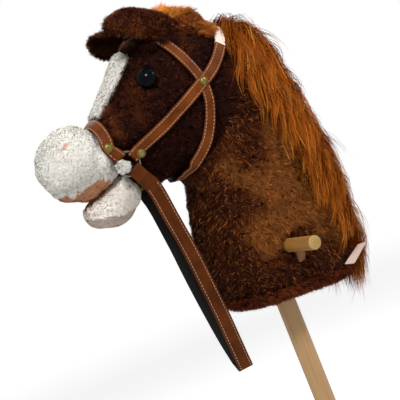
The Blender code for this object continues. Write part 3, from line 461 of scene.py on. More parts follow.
def wood_material(name, pale, dark, axis):
    """Turned softwood: streaks along the axis, growth rings on the ends, small pores."""
    s = Shader(name, Specular_IOR_Level=0.35)
    place = s.place()
    along = np.array([letter == axis for letter in "XYZ"])
    stretch = np.where(along, 2.6, 42.0)
    streaks = s.noise(s.scaled(place, stretch), 1.6, 6.0, 0.6)
    fine = s.noise(s.scaled(place, stretch * 9), 1.3, 3.0, 0.5)
    rings = s.node("TexWave", {"wave_type": "RINGS", "rings_direction": axis},
                   Vector=s.scaled(place, np.where(along, 0.05, 1.0)), Scale=210.0, Distortion=3.5,
                   Detail=3.0, Detail_Scale=1.2).outputs["Fac"]
    blend = s.math("ADD", s.math("MULTIPLY", streaks, 0.62), s.math("MULTIPLY", rings, 0.22))
    blend = s.math("ADD", blend, s.math("MULTIPLY", fine, 0.16))
    pale = linear(pale)
    s.set(Base_Color=s.ramp(blend, (0.28, linear(dark)), (0.52, pale), (0.72, tuple(np.minimum(
        np.array(pale) * 1.18, 1.0)))), Roughness=s.between(fine, 0.38, 0.62))
    s.bump(fine, 0.25, 0.0003)
    return s.made


# Colours of each pile at the root, darkened there as painted shade, at the tip and where it is lit as painted
# light, its variation, sheen and record slot
PILE_LOOKS = {
    "brown_pile": ((20, 6, 2), (82, 36, 14), (198, 122, 54), 1.6, 0.0, "brown_plush"),
    "fibres": ((36, 13, 4), (106, 53, 18), (200, 130, 62), 1.4, 0.0, "brown_plush"),
    "head_pile": ((5, 1, 1), (40, 12, 5), (146, 72, 28), 1.6, 0.0, "brown_plush"),
    "head_fibres": ((18, 6, 3), (74, 30, 13), (176, 98, 42), 1.4, 0.0, "brown_plush"),
    "ear_pile": ((10, 3, 1), (54, 18, 6), (196, 108, 42), 1.5, 0.0, "brown_plush"),
    "gusset_pile": ((14, 4, 1), (78, 28, 11), (140, 70, 30), 1.3, 0.0, "dark_plush"),
    "crest_pile": ((30, 10, 2), (112, 52, 15), (248, 158, 58), 1.4, 0.0, "mane_pile"),
    "mane_strands": ((66, 22, 3), (164, 80, 7), (220, 146, 62), 1.3, 0.0, "mane_pile"),
    "cream_pile": ((216, 211, 200), (228, 224, 214), (246, 244, 238), 0.05, 0.0, "cream_plush"),
    "lip_pile": ((212, 199, 186), (230, 219, 207), (248, 242, 234), 0.10, 0.0, "cream_plush"),
    "lip_low_pile": ((160, 142, 128), (180, 162, 148), (204, 188, 174), 0.08, 0.0, "cream_plush"),
    "blaze_pile": ((214, 209, 200), (228, 224, 215), (240, 237, 230), 0.06, 0.0, "cream_plush"),
    "peach_pile": ((168, 112, 76), (192, 136, 98), (210, 158, 122), 0.16, 0.05, "peach_plush"),
}
BACKINGS = {
    "brown_backing": ((20, 7, 3), (48, 22, 10)),
    "head_backing": ((10, 3, 2), (30, 12, 6)),
    "cream_backing": ((232, 226, 215), (242, 238, 229)),
    "peach_backing": ((168, 116, 82), (204, 150, 112)),
    "mane_backing": ((40, 14, 3), (84, 36, 8)),
    "ear_cloth": ((12, 4, 2), (32, 13, 7)),
    "nostril": ((172, 128, 108), (214, 178, 158)),
}
STRAPS = {"strap_face": ((76, 34, 8), (112, 58, 19)), "rein_face": ((66, 29, 6), (90, 44, 12))}
PLAINS = {
    "strap_backing": dict(colour=(16, 12, 10), Roughness=0.7, Specular_IOR_Level=0.15),
    "thread": dict(colour=(216, 172, 140), Roughness=0.75, spread=0.08, scale=400.0),
    "elastic": dict(colour=(232, 212, 196), Roughness=0.85, spread=0.06, scale=300.0, bump=0.4),
    "antique_brass": dict(colour=(112, 98, 50), Roughness=0.38, Metallic=0.85, spread=0.3, scale=240.0),
    "ring_steel": dict(colour=(104, 101, 95), Roughness=0.24, Metallic=1.0, spread=0.1, scale=200.0,
                       bump=0.04),
    "eye_black": dict(colour=(3, 5, 8), Roughness=0.05, Specular_IOR_Level=0.05, spread=0.05, scale=20.0,
                      bump=0),
    "washer": dict(colour=(200, 200, 196), Roughness=0.5),
    "tag_cloth": dict(colour=(196, 170, 156), Roughness=0.85, spread=0.08, scale=500.0, bump=0.3),
}
WOODS = {
    "stick_wood": ((162, 127, 86), (130, 96, 58), "Z"),
    "peg_wood": ((138, 97, 44), (100, 66, 25), "Y"),
    "peg_end": ((164, 134, 76), (126, 98, 50), "Y"),
    "wedge_wood": ((108, 70, 34), (80, 48, 20), "Y"),
}
LOOKS = {name: pile_material(name, *row[:-1]) for name, row in PILE_LOOKS.items()}
for rows, make in ((BACKINGS, backing_material), (STRAPS, strap_material), (WOODS, wood_material)):
    LOOKS.update({name: make(name, *row) for name, row in rows.items()})
LOOKS.update({name: plain_material(name, **row) for name, row in PLAINS.items()})
# The record's slot named for each piece without a node of their own
SLOTS = {name: row[-1] for name, row in PILE_LOOKS.items()}
SLOTS.update(cream_backing="cream_plush", nostril="peach_plush", thread="elastic_cream")


# Pile
def values_of(items, name, kind=float):
    """A value of three numbers for each item of a mesh."""
    out = np.empty(len(items) * 3, kind)
    items.foreach_get(name, out)
    return out.reshape(-1, 3)


def triangles_of(mesh):
    """Points, normals and triangles of a mesh."""
    mesh.calc_loop_triangles()
    return (values_of(mesh.vertices, "co"), values_of(mesh.vertices, "normal"),
            values_of(mesh.loop_triangles, "vertices", np.int64))


def moved_to(mesh, points):
    mesh.vertices.foreach_set("co", points.reshape(-1))
    mesh.update()
    return mesh


def scatter(mesh, count, rng, wanted=None):
    """Points and normals spread evenly over a mesh."""
    points, normals, faces = triangles_of(mesh)
    a, b, c = (points[faces[:, i]] for i in range(3))
    area = np.linalg.norm(np.cross(b - a, c - a), axis=1)
    if wanted is not None:
        area = area * wanted((a + b + c) / 3)
    pick = rng.choice(len(faces), size=count, p=area / area.sum())
    u, v = rng.random(count), rng.random(count)
    flip = u + v > 1
    u[flip], v[flip] = 1 - u[flip], 1 - v[flip]
    w = np.stack([1 - u - v, u, v], axis=1)[:, :, None]
    tri = faces[pick]
    return (points[tri] * w).sum(1), unit((normals[tri] * w).sum(1))


def field(points, scale, seed):
    """Smooth noise vectors at these points."""
    shift = Vector((seed * 7.3, seed * 3.1, seed * 5.7))
    return np.array([noise.noise_vector(Vector(p) * scale + shift)[:] for p in points])


def strands_mesh(name, paths, widths, shade, facing, rng):
    """Ribbons that taper to a point and lie with their flat side outwards, lit like the skin under them.

    paths is (strand, step, xyz), widths (strand), shade and facing (strand, step, 3).
    """
    count, steps, _ = paths.shape
    way = unit(np.diff(paths, axis=1))
    way = np.concatenate([way, way[:, -1:]], axis=1)
    across = unit(np.cross(way, facing))
    outward = np.cross(across, way)
    twist = rng.normal(size=(count, 1, 1)) * STRAND_TWIST
    across = across * np.cos(twist) + outward * np.sin(twist)
    ribbon = np.cross(across, way)
    normals = unit(facing * SKIN_LIGHT + ribbon * (1 - SKIN_LIGHT))
    taper = (1 - np.linspace(0, 1, steps) ** 1.6)[None, :, None]
    half = across * widths[:, None, None] / 2 * (0.25 + 0.75 * taper)

    def rows(middle, left, right):
        pairs = np.stack([left, right], axis=2)[:, :-1].reshape(count, -1, 3)
        return np.concatenate([pairs, middle[:, -1:]], axis=1)

    points = rows(paths, paths - half, paths + half)
    per = points.shape[1]
    base = (np.arange(count) * per)[:, None]
    quads = np.concatenate([base + np.array([[2 * i, 2 * i + 1, 2 * i + 3, 2 * i + 2]])
                            for i in range(steps - 2)], axis=1).reshape(-1, 4)
    tips = base + np.array([[per - 3, per - 2, per - 1]])
    mesh = bpy.data.meshes.new(name)
    mesh.vertices.add(count * per)
    mesh.vertices.foreach_set("co", points.reshape(-1))
    loops = np.concatenate([quads.reshape(-1), tips.reshape(-1)])
    mesh.loops.add(len(loops))
    mesh.loops.foreach_set("vertex_index", loops.astype(np.int32))
    starts = np.concatenate([np.arange(len(quads)) * 4, len(quads) * 4 + np.arange(len(tips)) * 3])
    mesh.polygons.add(len(starts))
    mesh.polygons.foreach_set("loop_start", starts.astype(np.int32))
    mesh.update(calc_edges=True)
    mesh.shade_smooth()
    mesh.normals_split_custom_set_from_vertices(rows(normals, normals, normals).reshape(-1, 3).tolist())
    attribute = mesh.color_attributes.new("shade", "FLOAT_COLOR", "POINT")
    colours = np.ones((count * per, 4), np.float32)
    colours[:, :3] = np.clip(rows(shade, shade, shade).reshape(-1, 3), 0, 1)
    attribute.data.foreach_set("color", colours.reshape(-1))
    return mesh


# Everything hard that lies on the plush
HARD = ("strap", "band", "latch", "elastic", "rivet", "ring_", "rein", "eye_")
AVOID = tree_of(joined([NODES[name].data for name in NODES
                        if any(word in name for word in HARD) and "washer" not in name]))


def pile(name, mesh, count, length, width, lean, nap, look, tone, seed, wanted=None, tuft=14.0,
         gather=0.55, curl=0.35, shy=0.006, sparks=0.0):
    """Short pile on a mesh. nap is the way it lies, lean how far it lies over, in degrees.

    tuft is how many strands gather in one, shy how near something hard the pile starts to give way, and
    sparks the share of strands that catch the light, as painted highlights. tone gives painted light and
    shade at each root: below 0 darker towards the root colour, above 0 towards the bright colour.
    """
    rng = np.random.default_rng(seed)
    roots, normals = scatter(mesh, count, rng, wanted)
    way = np.array(nap) + field(roots, 22.0, seed) * 0.9 * curl + rng.normal(size=roots.shape) * curl
    way = unit(way - normals * (way * normals).sum(1, keepdims=True))
    reach = length * rng.uniform(0.7, 1.2, count) * (1 + 0.25 * field(roots, 60.0, seed + 1)[:, 0])
    outer = roots + normals * PILE_DEPTH
    away = np.empty((count, 3))
    space = np.empty(count)
    for i, p in enumerate(outer):
        near, _, _, distance = AVOID.find_nearest(Vector(p), 0.02)
        space[i] = 1.0 if near is None else distance
        away[i] = 0.0 if near is None else p - np.array(near)
    close = np.clip(1 - space / shy, 0, 1)[:, None]
    away = away - normals * (away * normals).sum(1, keepdims=True)
    way = unit(way + unit(away) * close * 1.5 * (space[:, None] > 0.0015))
    reach = reach * np.clip(space / shy, 0.22, 1.0)
    lean_by = np.radians(lean + rng.normal(size=count) * 9)[:, None]
    first = unit(normals * np.cos(lean_by * 0.6) + way * np.sin(lean_by * 0.6))
    lean_by = np.minimum(lean_by * 1.35, 1.5)
    last = unit(normals * np.cos(lean_by) + way * np.sin(lean_by))
    middle = roots + first * reach[:, None] * 0.5
    tips = middle + last * reach[:, None] * 0.5
    centres = rng.choice(count, max(int(count / tuft), 1), replace=False)
    finder = KDTree(len(centres))
    for i, c in enumerate(centres):
        finder.insert(Vector(roots[c]), i)
    finder.balance()
    own = np.array([finder.find(Vector(p))[1] for p in roots])
    lead = centres[own]
    pull = gather * rng.uniform(0.4, 1.0, count)[:, None]
    spread = roots - roots[lead]
    tips = tips * (1 - pull) + (tips[lead] + spread * 0.45) * pull
    middle = middle * (1 - pull * 0.5) + (middle[lead] + spread * 0.75) * pull * 0.5
    paths = np.stack([roots - normals * 0.0006, middle, tips], axis=1)
    own_tone = np.clip(0.18 + 0.42 * rng.random(len(centres))[own] + 0.5 * rng.random(count) ** 2.5, 0, 1)
    shade = np.zeros((count, 3, 3))
    # Painted shade: each strand darker towards its root and, where tone is below 0, darker all along. Painted
    # light: where tone is above 0, and on the sparks, towards the bright colour.
    level = tone(roots, normals)
    shade[:, :, 0] = np.array([0.0, 0.55, 1.0]) * (1 + np.minimum(level, 0))[:, None]
    shade[:, :, 1] = own_tone[:, None]
    lit = np.maximum(level, 0) + 0.45 * (rng.random(count) < sparks)
    shade[:, :, 2] = lit[:, None] * np.array([0.3, 0.8, 1.0])
    widths = width * rng.uniform(0.7, 1.25, count)
    facing = np.repeat(normals[:, None], 3, axis=1)
    return obj_of(name, strands_mesh(name, paths, widths, shade, facing, rng), look, smooth=None)


# Body: neck and head as one stuffed form, cut at its seams

def settled(mesh, voxel, smooth, lumps, seed, grain=20.0):
    """One skin round the given closed meshes, smoothed, with the filling's soft lumps."""
    obj = bpy.data.objects.new("settling", mesh)
    bpy.context.scene.collection.objects.link(obj)
    remesh = obj.modifiers.new("skin", "REMESH")
    remesh.mode = "VOXEL"
    remesh.voxel_size = voxel
    soften = obj.modifiers.new("soften", "SMOOTH")
    soften.factor = 0.5
    soften.iterations = smooth
    graph = bpy.context.evaluated_depsgraph_get()
    made = bpy.data.meshes.new_from_object(obj.evaluated_get(graph))
    bpy.data.objects.remove(obj)
    points, normals, _ = triangles_of(made)
    ripple = field(points, grain, seed)[:, :1] + field(points, grain * 3, seed + 1)[:, :1] * 0.5
    return moved_to(made, points + normals * ripple * lumps)


def part_between(mesh, cuts):
    """The part on the inner side of each cut (point, outward normal), closed where it was cut."""
    work = bmesh.new()
    work.from_mesh(mesh)
    for point, normal in cuts:
        found = bmesh.ops.bisect_plane(work, geom=work.verts[:] + work.edges[:] + work.faces[:],
                                       plane_co=point, plane_no=normal, clear_outer=True)
        rim = [e for e in found["geom_cut"] if isinstance(e, bmesh.types.BMEdge)]
        bmesh.ops.contextual_create(work, geom=rim)
        bmesh.ops.triangulate(work, faces=[f for f in work.faces if len(f.verts) > 4])
    made = bpy.data.meshes.new("part")
    work.to_mesh(made)
    work.free()
    return made


def pressed(mesh, distances, depth, reach):
    """The mesh with its skin pulled in where each of the distances is small, as stitches do."""
    points, normals, _ = triangles_of(mesh)
    for distance in distances:
        points = points - normals * (depth * np.exp(-(distance(points) / reach) ** 2))[:, None]
    return moved_to(mesh, points)


def beside(points, a, b):
    """The way to each point from the nearest place on the line between a and b."""
    a, b = np.array(a), np.array(b)
    t = np.clip(((points - a) @ (b - a)) / ((b - a) @ (b - a)), 0, 1)
    return points - (a + t[..., None] * (b - a))


def off_lines(lines):
    """For each line, a function that gives how far points lie from it."""
    return [lambda p, line=line: np.linalg.norm(beside(p, *line), axis=1) for line in lines]


throat = Vector((THROAT_SEAM[0], 0, THROAT_SEAM[1]))
seam_way = (Vector((CREST_SEAM[0], 0, CREST_SEAM[1])) - throat).normalized()
SEAM = Vector((-seam_way.z, 0, seam_way.x))
GUSSET = Vector((TILT, 0, 1)).normalized()
gusset_point = Vector((0, 0, GUSSET_SEAM_Z))

whole = settled(joined([mesh_of("neck", *loft(neck_rings(PILE_DEPTH, around=64, steps=4))),
                        mesh_of("head", *loft(head_rings(PILE_DEPTH, around=64, steps=4)))]),
                voxel=0.0028, smooth=10, lumps=0.0016, seed=3)
pressed(whole, [lambda p: (p - np.array(gusset_point)) @ np.array(GUSSET)], depth=0.0045, reach=0.0050)
head_skin = obj_of("head_plush", part_between(whole, [(throat, -SEAM)]), "head_backing",
                   replaces=("head_skin", "head_filling"))
neck_skin = obj_of("neck_plush", part_between(whole, [(throat, SEAM), (gusset_point, -GUSSET)]),
                   "brown_backing", replaces=("neck_skin", "neck_filling"))
gusset = obj_of("gusset_plush", part_between(whole, [(gusset_point, GUSSET)]), "head_backing",
                replaces=("neck_gusset",))


def blob(points, x, z, rx, rz):
    """1 at a place on the sides, falling to 0 around it."""
    return np.exp(-(((points[:, 0] - x) / rx) ** 2 + ((points[:, 2] - z) / rz) ** 2))


# Painted light and shade on the neck: lit patches, darker under the head, towards the bottom and the front, a
# painted shadow round the peg and in the hollows beside it, with clouds of random tone
def neck_light_and_shade(p, n):
    t = 0.15 + 0.17 * blob(p, 0.045, 0.705, 0.060, 0.070) + 0.14 * blob(p, 0.035, 0.640, 0.05, 0.03)
    t = t + 0.2 * blob(p, 0.0, 0.650, 0.03, 0.03) - 0.5 * blob(p, 0.0, 0.770, 0.030, 0.040)
    t = t - 0.3 * blob(p, -0.060, 0.640, 0.02, 0.10) - 0.5 * blob(p, 0.030, 0.570, 0.12, 0.028)
    t = t - 0.6 * np.exp(-(np.hypot(p[:, 0], p[:, 2] - PEG_Z) / 0.014) ** 2)
    t = t - 0.25 * np.clip((0.640 - p[:, 2]) / 0.05, 0, 1) - 0.2 * np.clip((-0.020 - p[:, 0]) / 0.03, 0, 1)
    hollow_shade = np.maximum(blob(p, 0.020, 0.630, 0.014, 0.008), blob(p, 0.016, 0.597, 0.022, 0.016))
    return np.clip(t + field(p, 26.0, 11)[:, 0] * 0.55 - 0.10 - 0.5 * hollow_shade, -0.5, 0.26)


# Painted light and shade on the head: lighter towards the back, the poll and the ear's root, darker towards
# the jaw; also a lighter rim round the eye and clouds of random tone
def head_light_and_shade(p, n):
    behind = np.clip((p[:, 0] + 0.030) / 0.050, 0, 1)
    t = -0.06 + 0.16 * behind + 0.35 * blob(p, 0.015, 0.884, 0.04, 0.012)
    t = t + 0.22 * blob(p, -0.121, 0.806, 0.008, 0.024) - 0.3 * np.clip((0.780 - p[:, 2]) / 0.03, 0, 1)
    rim = np.hypot(p[:, 0] - EYE_X, p[:, 2] - EYE_Z + 0.003)
    t = t + 0.10 * np.exp(-((rim - 0.0120) / 0.003) ** 2) + 0.7 * blob(p, -0.070, 0.884, 0.018, 0.008)
    return np.clip(t + field(p, 30.0, 12)[:, 0] * 0.22, 0, 1)


def flat_tone(level, spread=0.3, top=0.0, narrow=3):
    """An even tone with some clouds in it, and painted light from above: brighter by top where the pile faces
    up.
    """
    def tone(p, n):
        up = np.clip(n[:, 2], 0, 1) ** narrow
        return np.clip(level + field(p, 34.0, 13)[:, 0] * spread + top * up, 0, 1)
    return tone


def off_cut(point, normal, bare=0.0004):
    """Keeps pile off a cut face that another piece meets, and off a bare strip beside it."""
    def wanted(p):
        return (np.abs((p - np.array(point)) @ np.array(normal)) > bare).astype(float)
    return wanted


def within(x=(-1, 1), y=(-1, 1), z=(-1, 1)):
    """Keeps pile where x, the distance from the middle plane and z lie between these."""
    def wanted(p):
        spots = (p[:, 0], np.abs(p[:, 1]), p[:, 2])
        inside = [(low < spot) & (spot < high) for spot, (low, high) in zip(spots, (x, y, z))]
        return np.all(inside, axis=0).astype(float)
    return wanted


def both(*tests):
    return lambda p: np.prod([t(p) for t in tests], axis=0)


BROWN_NAP, HEAD_NAP = (0.35, 0, -0.9), (0.45, 0, -0.8)
below_seam, beside_gusset = off_cut(throat, SEAM), off_cut(gusset_point, GUSSET, 0.0016)
on_neck = both(below_seam, beside_gusset)
pile("neck_pile", neck_skin.data, count=64000, length=0.0084, width=0.00080, lean=54, nap=BROWN_NAP,
     look="brown_pile", tone=neck_light_and_shade, seed=21, wanted=on_neck, tuft=13.0, gather=0.85, curl=1.0,
     sparks=0.10)
pile("neck_fibres", neck_skin.data, count=30000, length=0.0090, width=0.00062, lean=66, nap=BROWN_NAP,
     look="fibres", tone=neck_light_and_shade, seed=36,
     wanted=lambda p: on_neck(p) * np.maximum(0.22 + neck_light_and_shade(p, None), 0.06), tuft=12.0, gather=0.9,
     curl=1.4)
pile("gusset_pile", gusset.data, count=16000, length=0.0072, width=0.00080, lean=48, nap=BROWN_NAP,
     look="gusset_pile", tone=flat_tone(level=0.15), seed=22, wanted=beside_gusset, gather=0.7, curl=0.6,
     sparks=0.06)
pile("head_pile", head_skin.data, count=60000, length=0.0074, width=0.00080, lean=54, nap=HEAD_NAP,
     look="head_pile", tone=head_light_and_shade, seed=23, wanted=below_seam, tuft=12.0, gather=0.8, curl=0.9,
     sparks=0.02)
pile("head_fibres", head_skin.data, count=16000, length=0.0085, width=0.00050, lean=58, nap=HEAD_NAP,
     look="head_fibres", tone=head_light_and_shade, seed=37,
     wanted=lambda p: below_seam(p) * (0.05 + head_light_and_shade(p, None)), tuft=14.0, gather=0.85, curl=1.3)

# Longer hair at the back of the head lies over the elastic, and hair under each ear over the browband,
# darkened as painted shade under the ear
poll = within(x=(0.0, 0.027), y=(-1, 0.034), z=(0.858, 1))
under_ears = within(x=(-0.058, -0.024), y=(0.022, 1), z=(0.866, 1))
pile("poll_tuft", whole, count=9000, length=0.0155, width=0.00085, lean=70, nap=(1.0, 0, -0.3),
     look="crest_pile", tone=flat_tone(level=0.0, spread=0.5, top=0.9, narrow=6), seed=38, wanted=poll,
     tuft=16.0, gather=0.7, curl=0.5, shy=0.0004, sparks=0.1)
pile("ear_shade_hair", head_skin.data, count=7000, length=0.0150, width=0.00085, lean=52,
     nap=(0.25, 0, -0.9), look="head_pile", tone=flat_tone(level=-0.2, spread=0.3), seed=39,
     wanted=under_ears, tuft=14.0, gather=0.7, curl=0.7, shy=0.0004, sparks=0.04)

# Muzzle, lip and lining
def ball(name, centre, radii, grow, around=56, up=36):
    size = np.array(radii) + grow
    rings = []
    for polar in np.linspace(0, np.pi, up + 1)[1:-1]:
        angle = turn(around)
        ring = np.stack([np.full(around, np.cos(polar)), np.sin(polar) * np.cos(angle),
                         np.sin(polar) * np.sin(angle)], axis=1)
        rings.append(ring * size + np.array([centre[0], 0.0, centre[1]]))
    points, faces = loft(rings)
    points[-2] = np.array([centre[0] + size[0], 0.0, centre[1]])
    points[-1] = np.array([centre[0] - size[0], 0.0, centre[1]])
    return mesh_of(name, points, faces)



def swollen(name, forms, grow, voxel, smooth, lumps, seed, grain=20.0):
    """One stuffed form out of several round ones."""
    balls = [ball(name, (x, z), radii, grow=grow) for x, z, radii in forms]
    return settled(joined(balls), voxel=voxel, smooth=smooth, lumps=lumps, seed=seed, grain=grain)


MUZZLE_FORMS = ((*MUZZLE_CENTRE, MUZZLE_RADII), (-0.148, 0.777, (0.026, 0.038, 0.027)))
MUZZLE_PILE, LIP_PILE = 0.0040, 0.0038
nostrils = [((-0.1720, s * 0.0372, 0.8115), (-0.1890, s * 0.0330, 0.8010)) for s, _ in SIDES]
dimples = [((-0.2065, s * 0.012, 0.7765), (-0.2075, s * 0.004, 0.7745)) for s, _ in SIDES]
fold = [((a[0], s * a[1], a[2]), (b[0], s * b[1], b[2]))
        for s, _ in SIDES for a, b in zip(LIP_FOLD, LIP_FOLD[1:])]
muzzle_mesh = swollen("muzzle", MUZZLE_FORMS, grow=-MUZZLE_PILE, voxel=0.0020, smooth=6, lumps=0.0020,
                      seed=5, grain=36.0)
muzzle_mesh = pressed(muzzle_mesh, off_lines(nostrils), depth=0.0040, reach=0.0035)
muzzle_mesh = pressed(muzzle_mesh, off_lines(dimples), depth=0.0030, reach=0.0035)
muzzle = obj_of("muzzle_plush", muzzle_mesh, "cream_backing", replaces=("muzzle",))
lip_mesh = swollen("lip", LIP_FORMS, grow=-LIP_PILE + 0.0008, voxel=0.0020, smooth=22, lumps=0.0012, seed=6)
lip = obj_of("lip_plush", pressed(lip_mesh, off_lines(fold), depth=0.0020, reach=0.0035), "cream_backing",
             replaces=("lower_lip",))
lining_mesh = swollen("lining", LINING_FORMS, grow=-0.0010, voxel=0.0016, smooth=4, lumps=0.0010, seed=7)
lining = obj_of("lining_plush", lining_mesh, "peach_backing", replaces=("mouth_lining",))


def off_nostrils(p):
    return (np.min([distance(p) for distance in off_lines(nostrils)], axis=0) > 0.0030).astype(float)

def over_lining(p):
    """The muzzle's pile ends raggedly where the lining starts."""
    edge = 0.7535 - 0.06 * (p[:, 0] + 0.170) + field(p, 180.0, 15)[:, 0] * 0.003
    return (p[:, 2] > edge).astype(float)


def lip_edge(p):
    """Above 0 on the lip's peach edge at the mouth."""
    return p[:, 2] - (0.7370 + (p[:, 0] + 0.1692) * 0.42) + field(p, 160.0, 16)[:, 0] * 0.003


def above_fold(p):
    """Above 0 on the part of the lip over its fold."""
    return p[:, 2] - np.interp(p[:, 0], [f[0] for f in LIP_FOLD], [f[2] for f in LIP_FOLD])


WHITE_NAP, LIP_NAP = (-0.55, 0, -0.55), (0.1, 0, -0.9)
pile("muzzle_pile", muzzle.data, count=62000, length=0.0046, width=0.00100, lean=78, nap=WHITE_NAP,
     look="cream_pile", tone=flat_tone(level=0.5, spread=0.5), seed=24,
     wanted=both(off_nostrils, over_lining), tuft=36.0, gather=0.4, curl=0.6, shy=0.004)
pile("muzzle_fringe", muzzle.data, count=5000, length=0.0085, width=0.00075, lean=66,
     nap=(-0.25, 0, -0.9), look="cream_pile", tone=flat_tone(level=0.5, spread=0.5), seed=23,
     wanted=both(over_lining, within(z=(-1, 0.7655))), tuft=40.0, gather=0.8, curl=0.5)
pile("lip_pile", lip.data, count=14000, length=0.0046, width=0.00110, lean=66, nap=LIP_NAP,
     look="lip_pile", tone=flat_tone(level=0.4, spread=0.5), seed=25,
     wanted=lambda p: ((lip_edge(p) < 0) & (above_fold(p) > -0.001)).astype(float), tuft=26.0, gather=0.6,
     curl=0.7)
# Under the fold the lip takes a darker copy of its pile, as painted shade.
pile("lip_low_pile", lip.data, count=12000, length=0.0034, width=0.00110, lean=72, nap=LIP_NAP,
     look="lip_low_pile", tone=flat_tone(level=0.4, spread=0.5), seed=35,
     wanted=lambda p: ((lip_edge(p) < 0) & (above_fold(p) < 0)).astype(float), tuft=26.0, gather=0.5,
     curl=0.5)
pile("lip_edge_pile", lip.data, count=7000, length=0.0024, width=0.00070, lean=62, nap=LIP_NAP,
     look="peach_pile", tone=flat_tone(level=0.4), seed=26,
     wanted=lambda p: (lip_edge(p) > -0.0015).astype(float))
pile("lining_pile", lining.data, count=14000, length=0.0020, width=0.00055, lean=50, nap=WHITE_NAP,
     look="peach_pile", tone=flat_tone(level=0.4), seed=27)

muzzle_tree = tree_of(muzzle_mesh)
for (start, end), (_, label) in zip(nostrils, SIDES):
    spine = []
    for t in np.linspace(0, 1, 9):
        near, normal, _, _ = muzzle_tree.find_nearest(Vector(start).lerp(Vector(end), t))
        spine.append((near + normal * 0.0007, 0.0006 + 0.0019 * np.sin(np.pi * t)))
    rings = []
    for i, (centre, radius) in enumerate(spine):
        way = (spine[min(i + 1, 8)][0] - spine[max(i - 1, 0)][0]).normalized()
        side_way = way.orthogonal().normalized()
        other_way = way.cross(side_way)
        rings.append([centre + (side_way * np.cos(a) + other_way * np.sin(a)) * radius for a in turn(10)])
    obj_of("nostril_" + label, mesh_of("nostril", *loft(rings)), "nostril", smooth=70)

# White plush that swells over each ring
TUFT_RADII = (0.0060, 0.0048, 0.0060)
for side, label in SIDES:
    centre = RING_CENTRES[side] + Vector((-0.0064, side * 0.0022, -0.0004))
    tuft_mesh = ball("tuft", (0, 0), TUFT_RADII, grow=-0.0010, around=24, up=14)
    tuft_mesh.transform(Matrix.Translation(centre))
    tuft = obj_of("ring_tuft_" + label,
                  settled(tuft_mesh, voxel=0.0012, smooth=2, lumps=0.0022, seed=62 + side, grain=110.0),
                  "cream_backing")
    pile("ring_tuft_pile_" + label, tuft.data, count=3000, length=0.0046, width=0.0007, lean=40,
         nap=(0.3, side * 0.3, -0.6), look="cream_pile", tone=flat_tone(level=0.5), seed=60 + side,
         tuft=40.0, gather=0.85, curl=0.9, shy=0.0004)


# Blaze and forelock
def panel(table, columns, steps, thickness=None, lift=0.0):
    rings = []
    for row in through(table, steps):
        x, half = row[0], row[1]
        height = thickness if thickness else row[2]
        upper, lower = [], []
        for share in np.linspace(-1, 1, columns):
            hit, normal = top_hit(x, half * share)
            full = height * max(1 - share ** 6, 0.35) if thickness else height * (1 - share ** 2)
            upper.append(hit + normal * (GAP + max(full, 0.0012) + lift))
            lower.append(hit - normal * 0.004)
        rings.append(upper + lower[::-1])
    return mesh_of("panel", *loft(rings, strips=True))


blaze = obj_of("blaze_plush",
               settled(panel(BLAZE, columns=17, steps=6, thickness=BLAZE_THICKNESS, lift=-0.0018),
                       voxel=0.0016, smooth=4, lumps=0.0006, seed=8), "cream_backing",
               replaces=("blaze",))
forelock = obj_of("forelock_plush",
                  settled(panel(FORELOCK, columns=17, steps=6, thickness=None, lift=-0.003), voxel=0.0022,
                          smooth=5, lumps=0.0010, seed=9), "brown_backing", replaces=("forelock",))
pile("blaze_pile", blaze.data, count=15000, length=0.0046, width=0.0012, lean=72, nap=(-0.8, 0, -0.5),
     look="blaze_pile", tone=flat_tone(level=0.4, spread=0.5), seed=28, gather=0.4, curl=0.5, shy=0.002)
pile("forelock_pile", forelock.data, count=18000, length=0.0082, width=0.00080, lean=48,
     nap=(0.7, 0, -0.3), look="crest_pile", tone=flat_tone(level=-0.05, spread=0.4, top=0.9, narrow=4),
     seed=29, tuft=12.0, gather=0.7, curl=0.9, shy=0.002, sparks=0.08)
pile("forelock_fringe", forelock.data, count=2600, length=0.0130, width=0.00075, lean=40,
     nap=(0.7, 0, -0.1), look="crest_pile", tone=flat_tone(level=0.2, spread=0.4, top=0.8, narrow=6),
     seed=40, wanted=within(z=(0.885, 1)), tuft=16.0, gather=0.8, curl=0.8, shy=0.0004)


# Ears, given by both edges of each from its root to its tip: lower edge, then upper edge
EARS = {
    LEFT: ((-0.022, -0.034, 0.868, -0.008, -0.020, 0.887), (-0.042, -0.045, 0.877, -0.023, -0.024, 0.897),
           (-0.058, -0.051, 0.883, -0.036, -0.027, 0.904), (-0.072, -0.053, 0.889, -0.051, -0.030, 0.911),
           (-0.085, -0.053, 0.894, -0.067, -0.033, 0.913), (-0.095, -0.052, 0.897, -0.083, -0.039, 0.910),
           (-0.099, -0.050, 0.900, -0.096, -0.046, 0.906)),
    RIGHT: ((-0.005, 0.041, 0.860, -0.011, 0.031, 0.876), (-0.022, 0.049, 0.861, -0.022, 0.033, 0.887),
            (-0.034, 0.054, 0.866, -0.034, 0.037, 0.893), (-0.048, 0.059, 0.873, -0.045, 0.041, 0.898),
            (-0.060, 0.062, 0.880, -0.058, 0.046, 0.903), (-0.070, 0.063, 0.887, -0.069, 0.052, 0.905),
            (-0.078, 0.062, 0.896, -0.078, 0.058, 0.902)),
}


